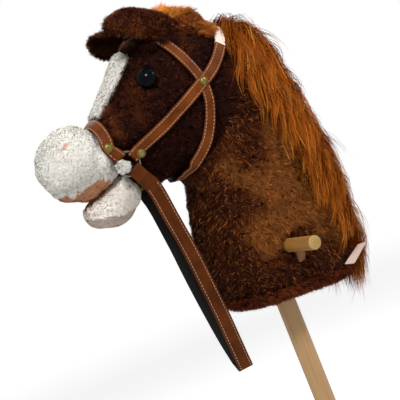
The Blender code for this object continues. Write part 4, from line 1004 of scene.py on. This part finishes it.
def leaf(side, share, stations, columns, thickness, offset=0.0):
    """An ear's leaf, cupped across, between its two edges."""
    edges = through(EARS[side], 6)
    at = np.linspace(0, 1, len(edges))
    first, middle_row, last = edges[0], edges[len(edges) // 2], edges[-1]
    along = Vector((last[:3] + last[3:] - first[:3] - first[3:])).normalized()
    across = Vector(middle_row[3:] - middle_row[:3]).normalized()
    out = along.cross(across).normalized()
    if out.y * side < 0:
        out = -out
    rings = []
    for u in stations:
        row = [np.interp(u, at, edges[:, k]) for k in range(6)]
        low, high = Vector(row[:3]), Vector(row[3:])
        upper, lower = [], []
        for v in np.linspace(-share, share, columns):
            swell = min(np.sqrt(max(1 - v ** 4, 0.0)) * (1 - u ** 6) + 0.15, 1.0)
            middle = (low + high) / 2 + (high - low) / 2 * v - out * EAR_CUP * v ** 2
            half = swell * thickness / 2
            upper.append(middle + out * (half + offset))
            lower.append(middle - out * (half - offset))
        rings.append(upper + lower[::-1])
    return mesh_of("leaf", *loft(rings, strips=True)), along


for side, label in SIDES:
    form, along = leaf(side, 1.0, np.linspace(0.0, 1.0, 27), columns=19, thickness=0.0050)
    ear = obj_of("ear_plush_" + label,
                 settled(form, voxel=0.0016, smooth=4, lumps=0.0014, seed=30 + side), "brown_backing",
                 replaces=("ear_" + label,))
    # Dark cloth lines each ear's cup; its near-black colour is partly painted shade in the cup.
    cloth, _ = leaf(side, 0.84, np.linspace(0.08, 0.90, 18), columns=13, thickness=0.0012, offset=-0.0036)
    lining = obj_of("ear_lining_cloth_" + label, cloth, "ear_cloth", replaces=("ear_lining_" + label,))

    def off_cloth(p, inner=tree_of(cloth)):
        return np.array([0.0 if inner.find_nearest(Vector(q))[3] < 0.0016 else 1.0 for q in p])

    pile("ear_pile_" + label, ear.data, count=22000, length=0.0072, width=0.00075, lean=48,
         nap=along * 0.5 + Vector((0, 0, -0.1)), look="ear_pile",
         tone=flat_tone(level=-0.15, spread=0.5, top=0.5, narrow=6), seed=32 + side, wanted=off_cloth,
         tuft=10.0, gather=0.7, curl=1.0, sparks=0.12)


# Mane: long strands between the neck and the mane's outer form
MANE_STEPS = 9
MANE_LOCKS, MANE_STRANDS, MANE_PARTS = 1300, 13000, 3
STRAND_WIDTH, TAG_CLEAR = 0.00066, 0.0095
NECK_ROWS = np.array(NECK)


def neck_back(height):
    return np.interp(height, NECK_ROWS[:, 0], NECK_ROWS[:, 2])


def mane_cushion():
    """The dense lower part of the mane's pile, a closed form over the crest."""
    rings = []
    for z, half in through([(z, CUSHION_SHARE * width) for z, width in MANE_WIDTHS], 2):
        height = z + TILT * 0.08
        front = neck_back(height) - 0.024 - 0.02 * (height > 0.83)
        rise = np.interp(z, (0.58, 0.64, 0.76, 0.82, 0.86), (-0.001, -0.001, -0.002, -0.002, -0.004))
        reach = (neck_back(height) + rise - front) / 2
        angle = turn(48)
        rings.append(np.stack([front + reach + reach * power(np.cos(angle), 2.2),
                               half * power(np.sin(angle), 2.2), np.full(48, z)], axis=1))
    return settled(mesh_of("cushion", *loft(rings)), voxel=0.003, smooth=8, lumps=0.003, seed=40)


cushion = mane_cushion()
mane_ground = settled(joined([whole, cushion]), voxel=0.0032, smooth=3, lumps=0.0, seed=41)
GROUND_TREE = tree_of(mane_ground)


def crest(p):
    """Above 0 on the strip down the back of the neck that the mane grows from."""
    height = p[:, 2] + TILT * p[:, 0]
    strip = np.interp(height, (0.59, 0.62, 0.68, 0.76), (0.016, 0.026, 0.030, 0.040))
    edge = np.where(height > 0.815, 0.037, neck_back(height) - strip)
    width = np.where(height > 0.815, 0.044, 0.060)
    grown = (p[:, 0] > edge) & (np.abs(p[:, 1]) < width) & (p[:, 2] > 0.572)
    side = np.interp(np.abs(p[:, 1]), (0.026, 0.042), (1.0, 0.3))
    return grown * side * np.interp(height, (0.60, 0.80, 0.84), (1.0, 1.0, 1.8))


def locks(count, rng):
    """Middle lines of locks that leave the crest, bend over and hang on the neck."""
    roots, normals = scatter(mane_ground, count, rng, crest)
    z = roots[:, 2]
    middle = 1 - np.clip(np.abs(roots[:, 1]) / 0.060, 0, 1)
    layer = (0.0025 + 0.0115 * middle ** 0.8) * rng.uniform(0.25, 1.0, count)
    layer = layer * np.interp(z, (0.575, 0.66, 0.74, 0.80, 0.84), (0.20, 0.32, 0.45, 0.48, 0.13))
    length = rng.uniform(0.038, 0.068, count) * np.interp(z, (0.57, 0.64, 0.80, 0.86), (0.8, 1.0, 1.05, 1.25))
    loose = (rng.random(count) < 0.03)[:, None]
    stand = np.interp(z, (0.80, 0.84), (0.35, -0.15))[:, None]
    first = unit(normals + rng.normal(size=(count, 3)) * 0.25 + np.array((0.15, 0, 0))
                 + stand * np.array((0, 0, 1.0)))
    sway = rng.normal(size=(count, 3)) * 0.12
    paths = np.empty((count, MANE_STEPS, 3))
    facing = np.empty((count, MANE_STEPS, 3))
    paths[:, 0], facing[:, 0] = roots, normals
    point = roots.copy()
    for k in range(1, MANE_STEPS):
        s = k / (MANE_STEPS - 1)
        curl = field(point, 26.0, 44) * 0.35
        way = unit(first * (1 - s) ** 2 * 1.3 + (PHOTO_DOWN + sway + curl) * (0.15 + 1.3 * s)
                   + facing[:, k - 1] * loose * s * 0.6)
        point = point + way * length[:, None] / (MANE_STEPS - 1)
        clear = PILE_DEPTH + layer * min(1.0, s / 0.35)
        for i in range(count):
            near, normal, _, _ = GROUND_TREE.find_nearest(Vector(point[i]))
            height = (Vector(point[i]) - near).dot(normal)
            if height < clear[i]:
                point[i] = near + normal * clear[i]
            facing[i, k] = normal
        paths[:, k] = point
    return paths, facing, layer


def clear_of_tag(paths):
    """False for each strand that would hang over the tag."""
    gap = beside(paths, TAG_FROM, TAG_TO)
    near = np.hypot(gap[..., 0], gap[..., 2]) < TAG_CLEAR
    return ~np.any(near & (gap[..., 1] < 0.006), axis=1)


def mane_strands(name, seed):
    rng = np.random.default_rng(seed)
    lines, facing, layer = locks(MANE_LOCKS, rng)
    own = rng.integers(0, MANE_LOCKS, MANE_STRANDS)
    share = rng.uniform(0.62, 1.08, MANE_STRANDS)
    t = np.linspace(0, 1, MANE_STEPS)
    at = np.clip(t[None, :] * share[:, None], 0, 1) * (MANE_STEPS - 1)
    low = np.minimum(at.astype(int), MANE_STEPS - 2)
    part = (at - low)[:, :, None]
    row = own[:, None]
    middle = lines[row, low] * (1 - part) + lines[row, low + 1] * part
    past = np.maximum(t[None, :] * share[:, None] - 1, 0)[:, :, None]
    middle = middle + (lines[own, -1] - lines[own, -2])[:, None] * past * (MANE_STEPS - 1)
    outward = unit(facing[row, low] * (1 - part) + facing[row, low + 1] * part)
    apart = rng.normal(size=(MANE_STRANDS, 1, 3)) * 0.0034
    wave = np.sin(t[None, :, None] * rng.uniform(2, 6, (MANE_STRANDS, 1, 1))
                  + rng.uniform(0, 6, (MANE_STRANDS, 1, 1))) * rng.normal(size=(MANE_STRANDS, 1, 3)) * 0.0012
    paths = middle + apart * (1 - 0.6 * t[None, :, None] ** 0.9) + wave * t[None, :, None]
    tones = rng.random(MANE_LOCKS)[own]
    depth = np.clip(layer[own] / 0.012, 0, 1)
    shade = np.zeros((MANE_STRANDS, MANE_STEPS, 3))
    # Painted shade: darker towards the root and on strands lying deeper in the mane. Painted light: lighter
    # towards the tips, most on a sixth of the strands.
    shade[:, :, 0] = np.clip((0.15 + 1.2 * t[None, :] ** 0.7) * (0.6 + 0.6 * depth[:, None]), 0, 1)
    shade[:, :, 1] = np.clip(0.15 + tones * 0.35 + 0.6 * rng.random(MANE_STRANDS) ** 2, 0, 1)[:, None]
    pale = (rng.random(MANE_STRANDS) < 0.16)[:, None]
    shade[:, :, 2] = np.clip((t[None, :] - 0.45) / 0.4, 0, 1) * np.where(pale, 0.9, 0.12)
    widths = STRAND_WIDTH * rng.uniform(0.6, 1.3, MANE_STRANDS)
    kept = clear_of_tag(paths)
    return strands_mesh(name, paths[kept], widths[kept], shade[kept], outward[kept], rng)


mane_base = obj_of("mane_base", cushion, "mane_backing", replaces=("mane",))
for part in range(MANE_PARTS):
    obj_of("mane_strands_%d" % (part + 1), mane_strands("mane", 50 + part), "mane_strands", smooth=None)

# Straps
def clear_of_head(point):
    near, normal, _, _ = HEAD_TREE.find_nearest(point)
    return (point - near).dot(normal)


def raised(frames, half, thickness, lifts):
    for _ in range(5):
        needed = [0.0] * len(frames)
        for i in range(len(frames) - 1):
            (c0, n0, w0), (c1, n1, w1) = frames[i], frames[i + 1]
            floor = GAP + LAY_MARGIN + min(lifts[i], lifts[i + 1])
            for t in np.linspace(0.0, 1.0, 7):
                centre = c0.lerp(c1, t) - n0.lerp(n1, t) * thickness / 2
                way = w0.lerp(w1, t) * half
                for w in np.linspace(-1.0, 1.0, 9):
                    short = floor - clear_of_head(centre + way * w)
                    needed[i] = max(needed[i], short)
                    needed[i + 1] = max(needed[i + 1], short)
        frames = [(c + n * max(d, 0.0), n, w) for (c, n, w), d in zip(frames, needed)]
    return frames


def laid(hits, half, thickness, lifts):
    frames = []
    for i, (point, normal) in enumerate(hits):
        before = hits[max(i - 1, 0)][0]
        after = hits[min(i + 1, len(hits) - 1)][0]
        tangent = (after - before).normalized()
        width_way = tangent.cross(normal).normalized()
        normal = width_way.cross(tangent).normalized()
        frames.append((point + normal * (GAP + lifts[i] + thickness / 2), normal, width_way))
    return raised(frames, half, thickness, lifts)


def tail_under(points, run, side, half):
    hits = []
    for distance in np.linspace(0.0, TAIL_PAST_RIVET, 4):
        x = np.interp(distance, run[:len(points)], [p[0] for p in points])
        z = np.interp(distance, run[:len(points)], [p[1] for p in points])
        hits.append(side_hit(x, z, side))
    return [(c, -n, w) for c, n, w in laid(hits, half, STRAP, [0.0] * len(hits))]


def fold_frames(side, degrees, half, width_way):
    centre = RING_CENTRES[side]
    way = ring_way(degrees)
    out = SWING_AXIS * side
    bend = RING_WIRE_R + RING_GAP + STRAP / 2
    near = np.sqrt((RING_R - RING_WIRE_R) ** 2 - half ** 2) + RING_WIRE_R - RING_GAP / 2
    across = way.cross(out).normalized()
    if across.dot(width_way) < 0:
        across = -across
    start = RING_R + RING_WIRE_R
    frames = [(centre + way * start + out * bend, out, across)]
    for turned in np.linspace(0, np.pi, 9):
        normal = out * np.cos(turned) - way * np.sin(turned)
        frames.append((centre + way * near + normal * bend, normal, across))
    frames.append((centre + way * start - out * bend, -out, across))
    return frames


def step_at(distance, middle, half, height):
    past = abs(distance - middle) - half
    return height * float(np.clip(1 - past / LIFT_SLOPE, 0.0, 1.0))


def along_run(at, run, rows):
    """Rows of values that are known along run, read off at other places."""
    return np.stack([np.interp(at, run, rows[:, k]) for k in range(rows.shape[1])], axis=-1)


def finer(frames, halves, spacing):
    """The same strap with frames at an even, smaller spacing."""
    centres, normals, ways = (np.array([f[k][:] for f in frames]) for k in range(3))
    run = np.concatenate([[0], np.cumsum(np.linalg.norm(np.diff(centres, axis=0), axis=1))])
    keep = np.concatenate([[True], np.diff(run) > 1e-6])
    run, halves = run[keep], np.array(halves, float)[keep]
    at = np.linspace(0, run[-1], max(int(run[-1] / spacing), 2))
    at = np.unique(np.concatenate([at, run]))
    normal = unit(along_run(at, run, normals[keep]))
    way = along_run(at, run, ways[keep])
    way = unit(way - normal * (way * normal).sum(1, keepdims=True))
    return at, along_run(at, run, centres[keep]), normal, way, np.interp(at, run, halves)


# A strap's section in shares of its half width and half thickness, and which of its sides are backing
STRAP_SECTION = ((-1.0, -0.55), (-1.0, 0.35), (-0.965, 0.82), (-0.90, 1.0), (0.90, 1.0), (0.965, 0.82),
                 (1.0, 0.35), (1.0, -0.55), (0.96, -1.0), (-0.96, -1.0))
BACKING_SIDES = (0, 6, 7, 8, 9)
STITCH_PITCH, STITCH_GAP, STITCH_ROW, THREAD_R = 0.0038, 0.0015, 0.70, 0.00021


def stitches(at, centre, normal, way, half, stitched):
    """Points and faces of two rows of stitches between the two places of stitched."""
    verts, polys = [], []
    for edge in (-STITCH_ROW, STITCH_ROW):
        spot = STITCH_PITCH * 0.6
        while spot < at[-1] - STITCH_PITCH:
            if stitched[0] <= spot <= stitched[1]:
                rows = []
                for s, lift in ((spot, 0.1), (spot + (STITCH_PITCH - STITCH_GAP) / 2, 0.75),
                                (spot + STITCH_PITCH - STITCH_GAP, 0.1)):
                    n, w = unit(along_run(s, at, normal)), unit(along_run(s, at, way))
                    middle = (along_run(s, at, centre) + w * np.interp(s, at, half) * edge
                              + n * (STRAP / 2 + THREAD_R * lift))
                    rows.append([middle + (w * np.cos(a) + n * np.sin(a)) * THREAD_R for a in turn(6)])
                points, faces = loft(rows)
                polys += [tuple(q + len(verts) for q in face) for face in faces]
                verts += points
            spot += STITCH_PITCH
    return verts, polys


def strap(name, node, frames, halves, face, body="horse", stitched=(0.0, 1e9)):
    """A coated strap with rounded edges, its backing, and two rows of stitches on its face."""
    at, centre, normal, way, half = finer(frames, halves, 0.0025)
    rings = [[centre[i] + way[i] * half[i] * u + normal[i] * STRAP / 2 * v for u, v in STRAP_SECTION]
             for i in range(len(at))]
    points, faces = loft(rings)
    mesh = bpy.data.meshes.new(name)
    mesh.from_pydata([tuple(p) for p in points], [], faces)
    obj_of(name, mesh, (face, "strap_backing"), body, (node,), 40)
    for polygon in mesh.polygons:
        on_side = polygon.index < (len(rings) - 1) * len(STRAP_SECTION)
        backed = not on_side or polygon.index % len(STRAP_SECTION) in BACKING_SIDES
        polygon.material_index = int(backed)
    joined([mesh], mesh, True)
    verts, polys = stitches(at, centre, normal, way, half, stitched)
    obj_of(name + "_stitches", mesh_of(name + "_stitches", verts, polys), "thread", body, smooth=60)


def lathe_mesh(name, start, axis, profile, segments=40):
    """A turned form. profile holds a radius and a place along the axis for each ring."""
    axis = Vector(axis).normalized()
    side = axis.orthogonal().normalized()
    other = axis.cross(side)
    rings = [[Vector(start) + axis * along + (side * np.cos(a) + other * np.sin(a)) * radius
              for a in turn(segments)] for radius, along in profile]
    return mesh_of(name, *loft(rings))


def rivet(name, frames, index, half, body="horse"):
    centre, normal, _ = frames[index]
    radius = RIVET_D / 2
    rise = STRAP / 2
    for (c0, n0, w0), (c1, n1, w1) in zip(frames, frames[1:]):
        for t in (0.0, 0.25, 0.5, 0.75, 1.0):
            way = n0.lerp(n1, t)
            spot = c0.lerp(c1, t) + way * STRAP / 2
            for edge in np.linspace(-half, half, 7):
                corner = spot + w0.lerp(w1, t) * edge - centre
                height = corner.dot(normal)
                if (corner - normal * height).length < radius + 0.002 and way.dot(normal) > 0.5:
                    rise = max(rise, height)
    top = centre + normal * rise
    profile = [(0.0012, -0.0012), (radius * 0.96, -0.0003), (radius, 0.0001), (radius, 0.00045),
               (radius * 0.94, 0.0008), (radius * 0.86, 0.0008), (radius * 0.83, 0.00065)]
    for angle in np.radians((12, 26, 42, 58, 74, 86)):
        profile.append((radius * 0.83 * np.cos(angle), 0.0007 + (RIVET_DOME - 0.0007) * np.sin(angle)))
    return obj_of(name + "_head", lathe_mesh(name, top, normal, profile), "antique_brass", body, (name,), 50)


for side, label in SIDES:
    root = RING_CENTRES[side] + ring_way(CHEEK_FROM_RING) * CHEEK_RIVET_FROM_RING
    points = through([(root.x, root.z)] + list(CHEEK_PATH), 3)
    hits = [side_hit(x, z, side) for x, z in points]
    run = np.cumsum([0.0] + [(b[0] - a[0]).length for a, b in zip(hits, hits[1:])])
    cross = min(range(len(points)),
                key=lambda i: np.hypot(points[i][0] - CROSS[0], points[i][1] - CROSS[1]))
    double = STRAP + GAP
    lifts = [step_at(d, 0.0, TAIL_PAST_RIVET + LIFT_MARGIN, double)
             + step_at(d, run[cross], CROSS_LIFT, double)
             + step_at(d, run[-1], ELASTIC_LIFT, ELASTIC_THICKNESS + GAP) for d in run]
    half = CHEEK_WIDTH / 2
    outer = laid(hits, half, STRAP, lifts)
    inner = tail_under(points, run, side, half)
    fold = fold_frames(side, CHEEK_FROM_RING, half, outer[0][2])
    frames = outer[::-1] + fold + inner
    strap("cheek_strap_%s_leather" % label, "cheek_strap_" + label, frames, [half] * len(frames),
          "strap_face")
    rivet("cheek_rivet_" + label, fold[:1] + outer, 1, half)
    rivet("cross_rivet_" + label, outer, cross, half)

nose_half = NOSE_WIDTH / 2
ends = {}
for side, label in SIDES:
    root = RING_CENTRES[side] + ring_way(NOSE_FROM_RING[side]) * NOSE_RIVET_FROM_RING
    points = through([(root.x, root.z), ((root.x + NOSE_PATH_X) / 2, root.z + NOSE_PATH_RISE)], 3)
    hits = [side_hit(x, z, side) for x, z in points]
    first_angle = np.degrees(np.arctan2(points[-1][1] - HEAD_MID_Z, abs(hits[-1][0].y)))
    for share in np.linspace(0, 1, 13)[1:]:
        x = points[-1][0] + (NOSE_PATH_X - points[-1][0]) * min(share * 1.6, 1.0)
        hits.append(around_hit(x, first_angle + (90.0 - first_angle) * share, side))
    run = np.cumsum([0.0] + [(b[0] - a[0]).length for a, b in zip(hits, hits[1:])])
    lifts = [step_at(d, 0.0, TAIL_PAST_RIVET + LIFT_MARGIN, STRAP + GAP) for d in run]
    outer = laid(hits, nose_half, STRAP, lifts)
    inner = tail_under(points, run, side, nose_half)
    ends[side] = (outer, fold_frames(side, NOSE_FROM_RING[side], nose_half, outer[0][2]) + inner)
    rivet("nose_rivet_" + label, ends[side][1][:1] + outer, 1, nose_half)
flipped = [(c, n, -w) for c, n, w in ends[RIGHT][0][::-1]]
frames = ends[LEFT][1][::-1] + ends[LEFT][0] + flipped[1:] + [(c, n, -w) for c, n, w in ends[RIGHT][1]]
strap("noseband_leather", "noseband", frames, [nose_half] * len(frames), "strap_face")


def band_frames(side_points, angles, width, thickness, ease=0):
    """Frames of a band over or under the head. ease takes the corners out of its path."""
    spots = through(side_points, 3)
    turns = through([(x, np.radians(d) * HEAD_HALF) for x, d in angles], 3)

    def one(side):
        return ([side_hit(x, z, side) for x, z in spots]
                + [around_hit(x, np.degrees(a / HEAD_HALF), side) for x, a in turns])

    hits = one(LEFT) + one(RIGHT)[::-1][1:]
    for _ in range(ease):
        places = [h[0] for h in hits]
        for i in range(2, len(hits) - 2):
            near, normal, _, _ = HEAD_TREE.find_nearest((places[i - 1] + places[i] * 2 + places[i + 1]) / 4)
            hits[i] = (near, normal)
    return laid(hits, width / 2, thickness, [0.0] * len(hits))


for name, node, side_points, over, width, ease in (
        ("browband_leather", "browband", BROW_PATH, BROW_OVER, BROW_WIDTH, 2),
        ("throatlatch_leather", "throatlatch", THROAT_PATH, THROAT_UNDER, THROAT_WIDTH, 5)):
    frames = band_frames(side_points, over, width, STRAP, ease)
    strap(name, node, frames, [width / 2] * len(frames), "strap_face")

# Gathered elastic behind the ears
elastic = band_frames(ELASTIC_PATH, ELASTIC_OVER, ELASTIC_WIDTH, ELASTIC_THICKNESS, 2)
at, centre, normal, way, _ = finer(elastic, [1.0] * len(elastic), 0.0012)
rings = []
for i in range(len(at)):
    ruffle = 0.0009 * np.sin(at[i] / 0.0046 * 2 * np.pi)
    upper, lower = [], []
    for v in np.linspace(-1, 1, 13):
        edge = ELASTIC_WIDTH / 2 * (1.0 + 0.06 * np.sin(at[i] * 900 + v * 3))
        lift = ruffle * (0.55 + 0.45 * np.cos(v * 4.0 + at[i] * 120)) + 0.0006
        p = centre[i] + way[i] * edge * v
        upper.append(p + normal[i] * (ELASTIC_THICKNESS / 2 + lift))
        lower.append(p - normal[i] * ELASTIC_THICKNESS / 2)
    rings.append(upper + lower[::-1])
obj_of("elastic_gathered", mesh_of("elastic", *loft(rings, strips=True)), "elastic",
       replaces=("poll_elastic",), smooth=70)

# Rings
for side, label in SIDES:
    steps, section = 72, 14
    points, faces = [], []
    for along in turn(steps):
        way = ring_way(np.degrees(along))
        middle = RING_CENTRES[side] + way * RING_R
        points += [middle + (way * np.cos(a) + SWING_AXIS * np.sin(a)) * RING_WIRE_R for a in turn(section)]
    for i in range(steps):
        for j in range(section):
            k, m = (i + 1) % steps, (j + 1) % section
            faces.append((i * section + j, i * section + m, k * section + m, k * section + j))
    obj_of("ring_%s_wire" % label, mesh_of("ring", points, faces), "ring_steel", "ring_" + label,
           ("ring_" + label,), 80)

# Rein
REIN_BARE = 0.060
rein_half, fold_half = REIN_WIDTH / 2, REIN_FOLD_WIDTH / 2


def leg_frames(side):
    way = ring_way(REIN_FROM_RING)
    out = SWING_AXIS * side
    start = RING_CENTRES[side] + way * (RING_R + 0.008) + out * (STRAP + GAP) / 2
    points = [Vector(p) for p in through([start] + list(REIN_LEGS[side]), 4)]
    frames = []
    for i, point in enumerate(points):
        tangent = (points[min(i + 1, len(points) - 1)] - points[max(i - 1, 0)]).normalized()
        aim = out.lerp(Vector((0, side, 0)), min(i / 10.0, 1.0))
        width_way = tangent.cross(aim).normalized()
        frames.append((point, width_way.cross(tangent).normalized(), width_way))
    return frames


def tail_frames(side, leg):
    reach = REIN_RIVET_FROM_RING + TAIL_PAST_RIVET
    out = []
    for centre, normal, width_way in leg:
        if (centre - RING_CENTRES[side]).length > reach:
            break
        out.append((centre - normal * (STRAP + GAP), -normal, width_way))
    return out


runs = []
for side, label in SIDES:
    leg = leg_frames(side)
    fold = fold_frames(side, REIN_FROM_RING, fold_half, leg[0][2])
    tail = tail_frames(side, leg)
    halves = ([rein_half] * len(tail) + [fold_half] * len(fold)
              + [fold_half + (rein_half - fold_half) * min(i / 4.0, 1.0) for i in range(len(leg))])
    halves[:len(tail)] = halves[len(tail) + len(fold):][:len(tail)][::-1]
    runs.append((tail[::-1] + fold[::-1] + leg, halves))
    spot = min(range(len(tail)), key=lambda i: abs((tail[i][0] - RING_CENTRES[side]).length
                                                   - REIN_RIVET_FROM_RING))
    rivet("rein_rivet_" + label, tail, spot, rein_half, "rein")
crease = []
for turned in np.linspace(0, np.pi, 9)[1:-1]:
    n = Vector((0, -np.cos(turned), -np.sin(turned)))
    crease.append((Vector(REIN_FOLD) + Vector((0, 0, REIN_FOLD_R)) + n * REIN_FOLD_R, n, Vector((1, 0, 0))))
frames, halves = list(runs[0][0]), list(runs[0][1])
sign = 1 if frames[-1][2].dot(crease[0][2]) > 0 else -1
frames += [(c, n, w * sign) for c, n, w in crease]
halves += [rein_half] * len(crease)
other = runs[1][0][::-1]
sign = 1 if other[0][2].dot(frames[-1][2]) > 0 else -1
frames += [(c, n, w * sign) for c, n, w in other]
halves += runs[1][1][::-1]
total = sum((b[0] - a[0]).length for a, b in zip(frames, frames[1:]))
strap("rein_leather", "rein", frames, halves, "rein_face", "rein", (REIN_BARE, total - REIN_BARE))

# Wood, eyes, tag
def rounded_profile(radius, ease, end, steps):
    """A rod's profile from 0 to end, its edges eased by steps of (share off the radius, share along)."""
    near = [(radius - ease * off, ease * along) for off, along in steps]
    return near + [(r, end - along) for r, along in near[::-1]]


stick_profile = [(0.0095, 0.0), (0.0104, 0.0004), (0.0110, 0.0015), (0.0110, STICK_TOP - 0.0015),
                 (0.0095, STICK_TOP)]
obj_of("stick_dowel", lathe_mesh("stick", (0, 0, 0), (0, 0, 1), stick_profile, 64), "stick_wood",
       replaces=("stick",))
peg_profile = rounded_profile(PEG_D / 2, 0.0020, PEG_LENGTH, ((1, 0), (0.45, 0.12), (0.12, 0.45), (0, 1)))
peg = obj_of("handle_dowel", lathe_mesh("peg", (0, -PEG_LENGTH / 2, PEG_Z), (0, 1, 0), peg_profile, 56),
             ("peg_wood", "peg_end"), replaces=("handle_peg",))
# Its end faces take a lighter copy of the peg's wood, as painted light.
for face in peg.data.polygons:
    face.material_index = int(abs(face.normal.y) > 0.5)

for side, label in SIDES:
    hit, normal = side_hit(EYE_X, EYE_Z, side)
    radius = EYE_D / 2
    profile = [(0.003, -0.003), (radius - 0.0012, -0.0026), (radius, 0.0010)]
    for angle in np.radians(np.linspace(10, 86, 9)):
        profile.append((radius * np.cos(angle), 0.0010 + (EYE_HEIGHT - 0.0010) * np.sin(angle)))
    obj_of("eye_dome_" + label, lathe_mesh("eye", hit + normal * 0.0002, normal, profile, 56), "eye_black",
           replaces=("eye_" + label,), smooth=60)

tag_from, tag_to, tag_out = Vector(TAG_FROM), Vector(TAG_TO), Vector(TAG_OUT)
tag_normal = (tag_to - tag_from).cross(tag_out).normalized()
rings = []
for u in np.linspace(0, 1, 14):
    upper, lower = [], []
    for v in np.linspace(0, 0.6, 9):
        p = tag_from.lerp(tag_to, u) + tag_out * v
        p = p + tag_normal * (0.0012 * np.sin(v * 2.4) * np.cos(u * 3.0) - 0.0004)
        upper.append(p + tag_normal * 0.0003)
        lower.append(p - tag_normal * 0.0003)
    rings.append(upper + lower[::-1])
tag = obj_of("tag_cloth_blank", mesh_of("tag", *loft(rings, strips=True)), "tag_cloth",
             replaces=("tag",), smooth=60)

# Pieces whose imported shape stays
# The wedge under the peg takes a darker wood, as painted shade under the peg.
for node, look in (("peg_wedge", "wedge_wood"), ("eye_washer_left", "washer"),
                   ("eye_washer_right", "washer")):
    NODES[node].data.materials.clear()
    NODES[node].data.materials.append(LOOKS[look])


# Stage, light and camera
WHITE = (1.0, 1.0, 1.0, 1.0)
FLOOR_HALF, FLOOR_Z = 30.0, -0.0004
SKY_LIGHT = 0.36


def floor_material():
    """Pale floor that the camera sees as white, with the object's shadow."""
    s = Shader("floor", Roughness=0.9, Specular_IOR_Level=0.1, Base_Color=(0.93, 0.93, 0.93, 1.0),
               Emission_Color=WHITE)
    reach = s.node("VectorMath", {"operation": "LENGTH"}, Vector=s.place()).outputs["Value"]
    away = s.node("MapRange", {"interpolation_type": "SMOOTHSTEP"}, Value=reach, From_Min=0.8, From_Max=4.5,
                  To_Min=0.14, To_Max=0.66).outputs[0]
    s.set(Emission_Strength=s.math("MULTIPLY", s.directly_seen(), away))
    return s.made


floor_mesh = bpy.data.meshes.new("floor")
floor_mesh.from_pydata([(x * FLOOR_HALF, y * FLOOR_HALF, 0) for x, y in ((-1, -1), (1, -1), (1, 1), (-1, 1))],
                       [], [(0, 1, 2, 3)])
floor_mesh.materials.append(floor_material())
floor = bpy.data.objects.new("floor", floor_mesh)
floor.location.z = FLOOR_Z
bpy.context.scene.collection.objects.link(floor)

world = bpy.data.worlds.new("studio")
bpy.context.scene.world = world
world.use_nodes = True
world.node_tree.nodes.clear()
sky = Nodes(world.node_tree)
mixed = sky.node("MixShader", Fac=sky.directly_seen())
for strength, socket in ((SKY_LIGHT, mixed.inputs[1]), (1.0, mixed.inputs[2])):
    sky.join(sky.node("Background", Color=WHITE, Strength=strength).outputs[0], socket)
sky.node("OutputWorld", Surface=mixed.outputs[0])


def lamp(name, place, aim, size, power_w):
    data = bpy.data.lights.new(name, "AREA")
    data.shape = "DISK"
    data.size = size
    data.energy = power_w
    obj = bpy.data.objects.new(name, data)
    obj.location = place
    obj.rotation_euler = (Vector(place) - Vector(aim)).to_track_quat("Z", "Y").to_euler()
    bpy.context.scene.collection.objects.link(obj)


AIM = (-0.03, 0.0, 0.72)
lamp("key", (-0.9, -1.4, 2.4), AIM, size=0.55, power_w=48.0)
lamp("side", (1.5, -1.2, 1.9), AIM, size=0.55, power_w=20.0)
lamp("back", (0.6, 1.6, 1.8), AIM, size=1.0, power_w=24.0)

# The camera stands where the photograph was taken from, and is rolled as the photograph is
AZIMUTH, ELEVATION, ROLL = np.radians((-24.0, 4.5, 22.0))
LOOKED_AT, DISTANCE, LENS_MM, SENSOR_MM = Vector((-0.0503, 0.0, 0.6973)), 1.30, 108.5, 36.0
camera_data = bpy.data.cameras.new("camera")
camera_data.sensor_width = SENSOR_MM
camera_data.lens = LENS_MM
camera = bpy.data.objects.new("camera", camera_data)
bpy.context.scene.collection.objects.link(camera)
back = Vector((np.sin(AZIMUTH) * np.cos(ELEVATION), -np.cos(AZIMUTH) * np.cos(ELEVATION), np.sin(ELEVATION)))
right = Vector((np.cos(AZIMUTH), np.sin(AZIMUTH), 0.0))
up = back.cross(right)
image_right = right * np.cos(ROLL) - up * np.sin(ROLL)
image_up = right * np.sin(ROLL) + up * np.cos(ROLL)
camera.matrix_world = Matrix((image_right, image_up, back)).transposed().to_4x4()
camera.matrix_world.translation = LOOKED_AT + back * DISTANCE
bpy.context.scene.camera = camera
bpy.context.scene.view_settings.view_transform = "Standard"

bpy.context.view_layer.update()
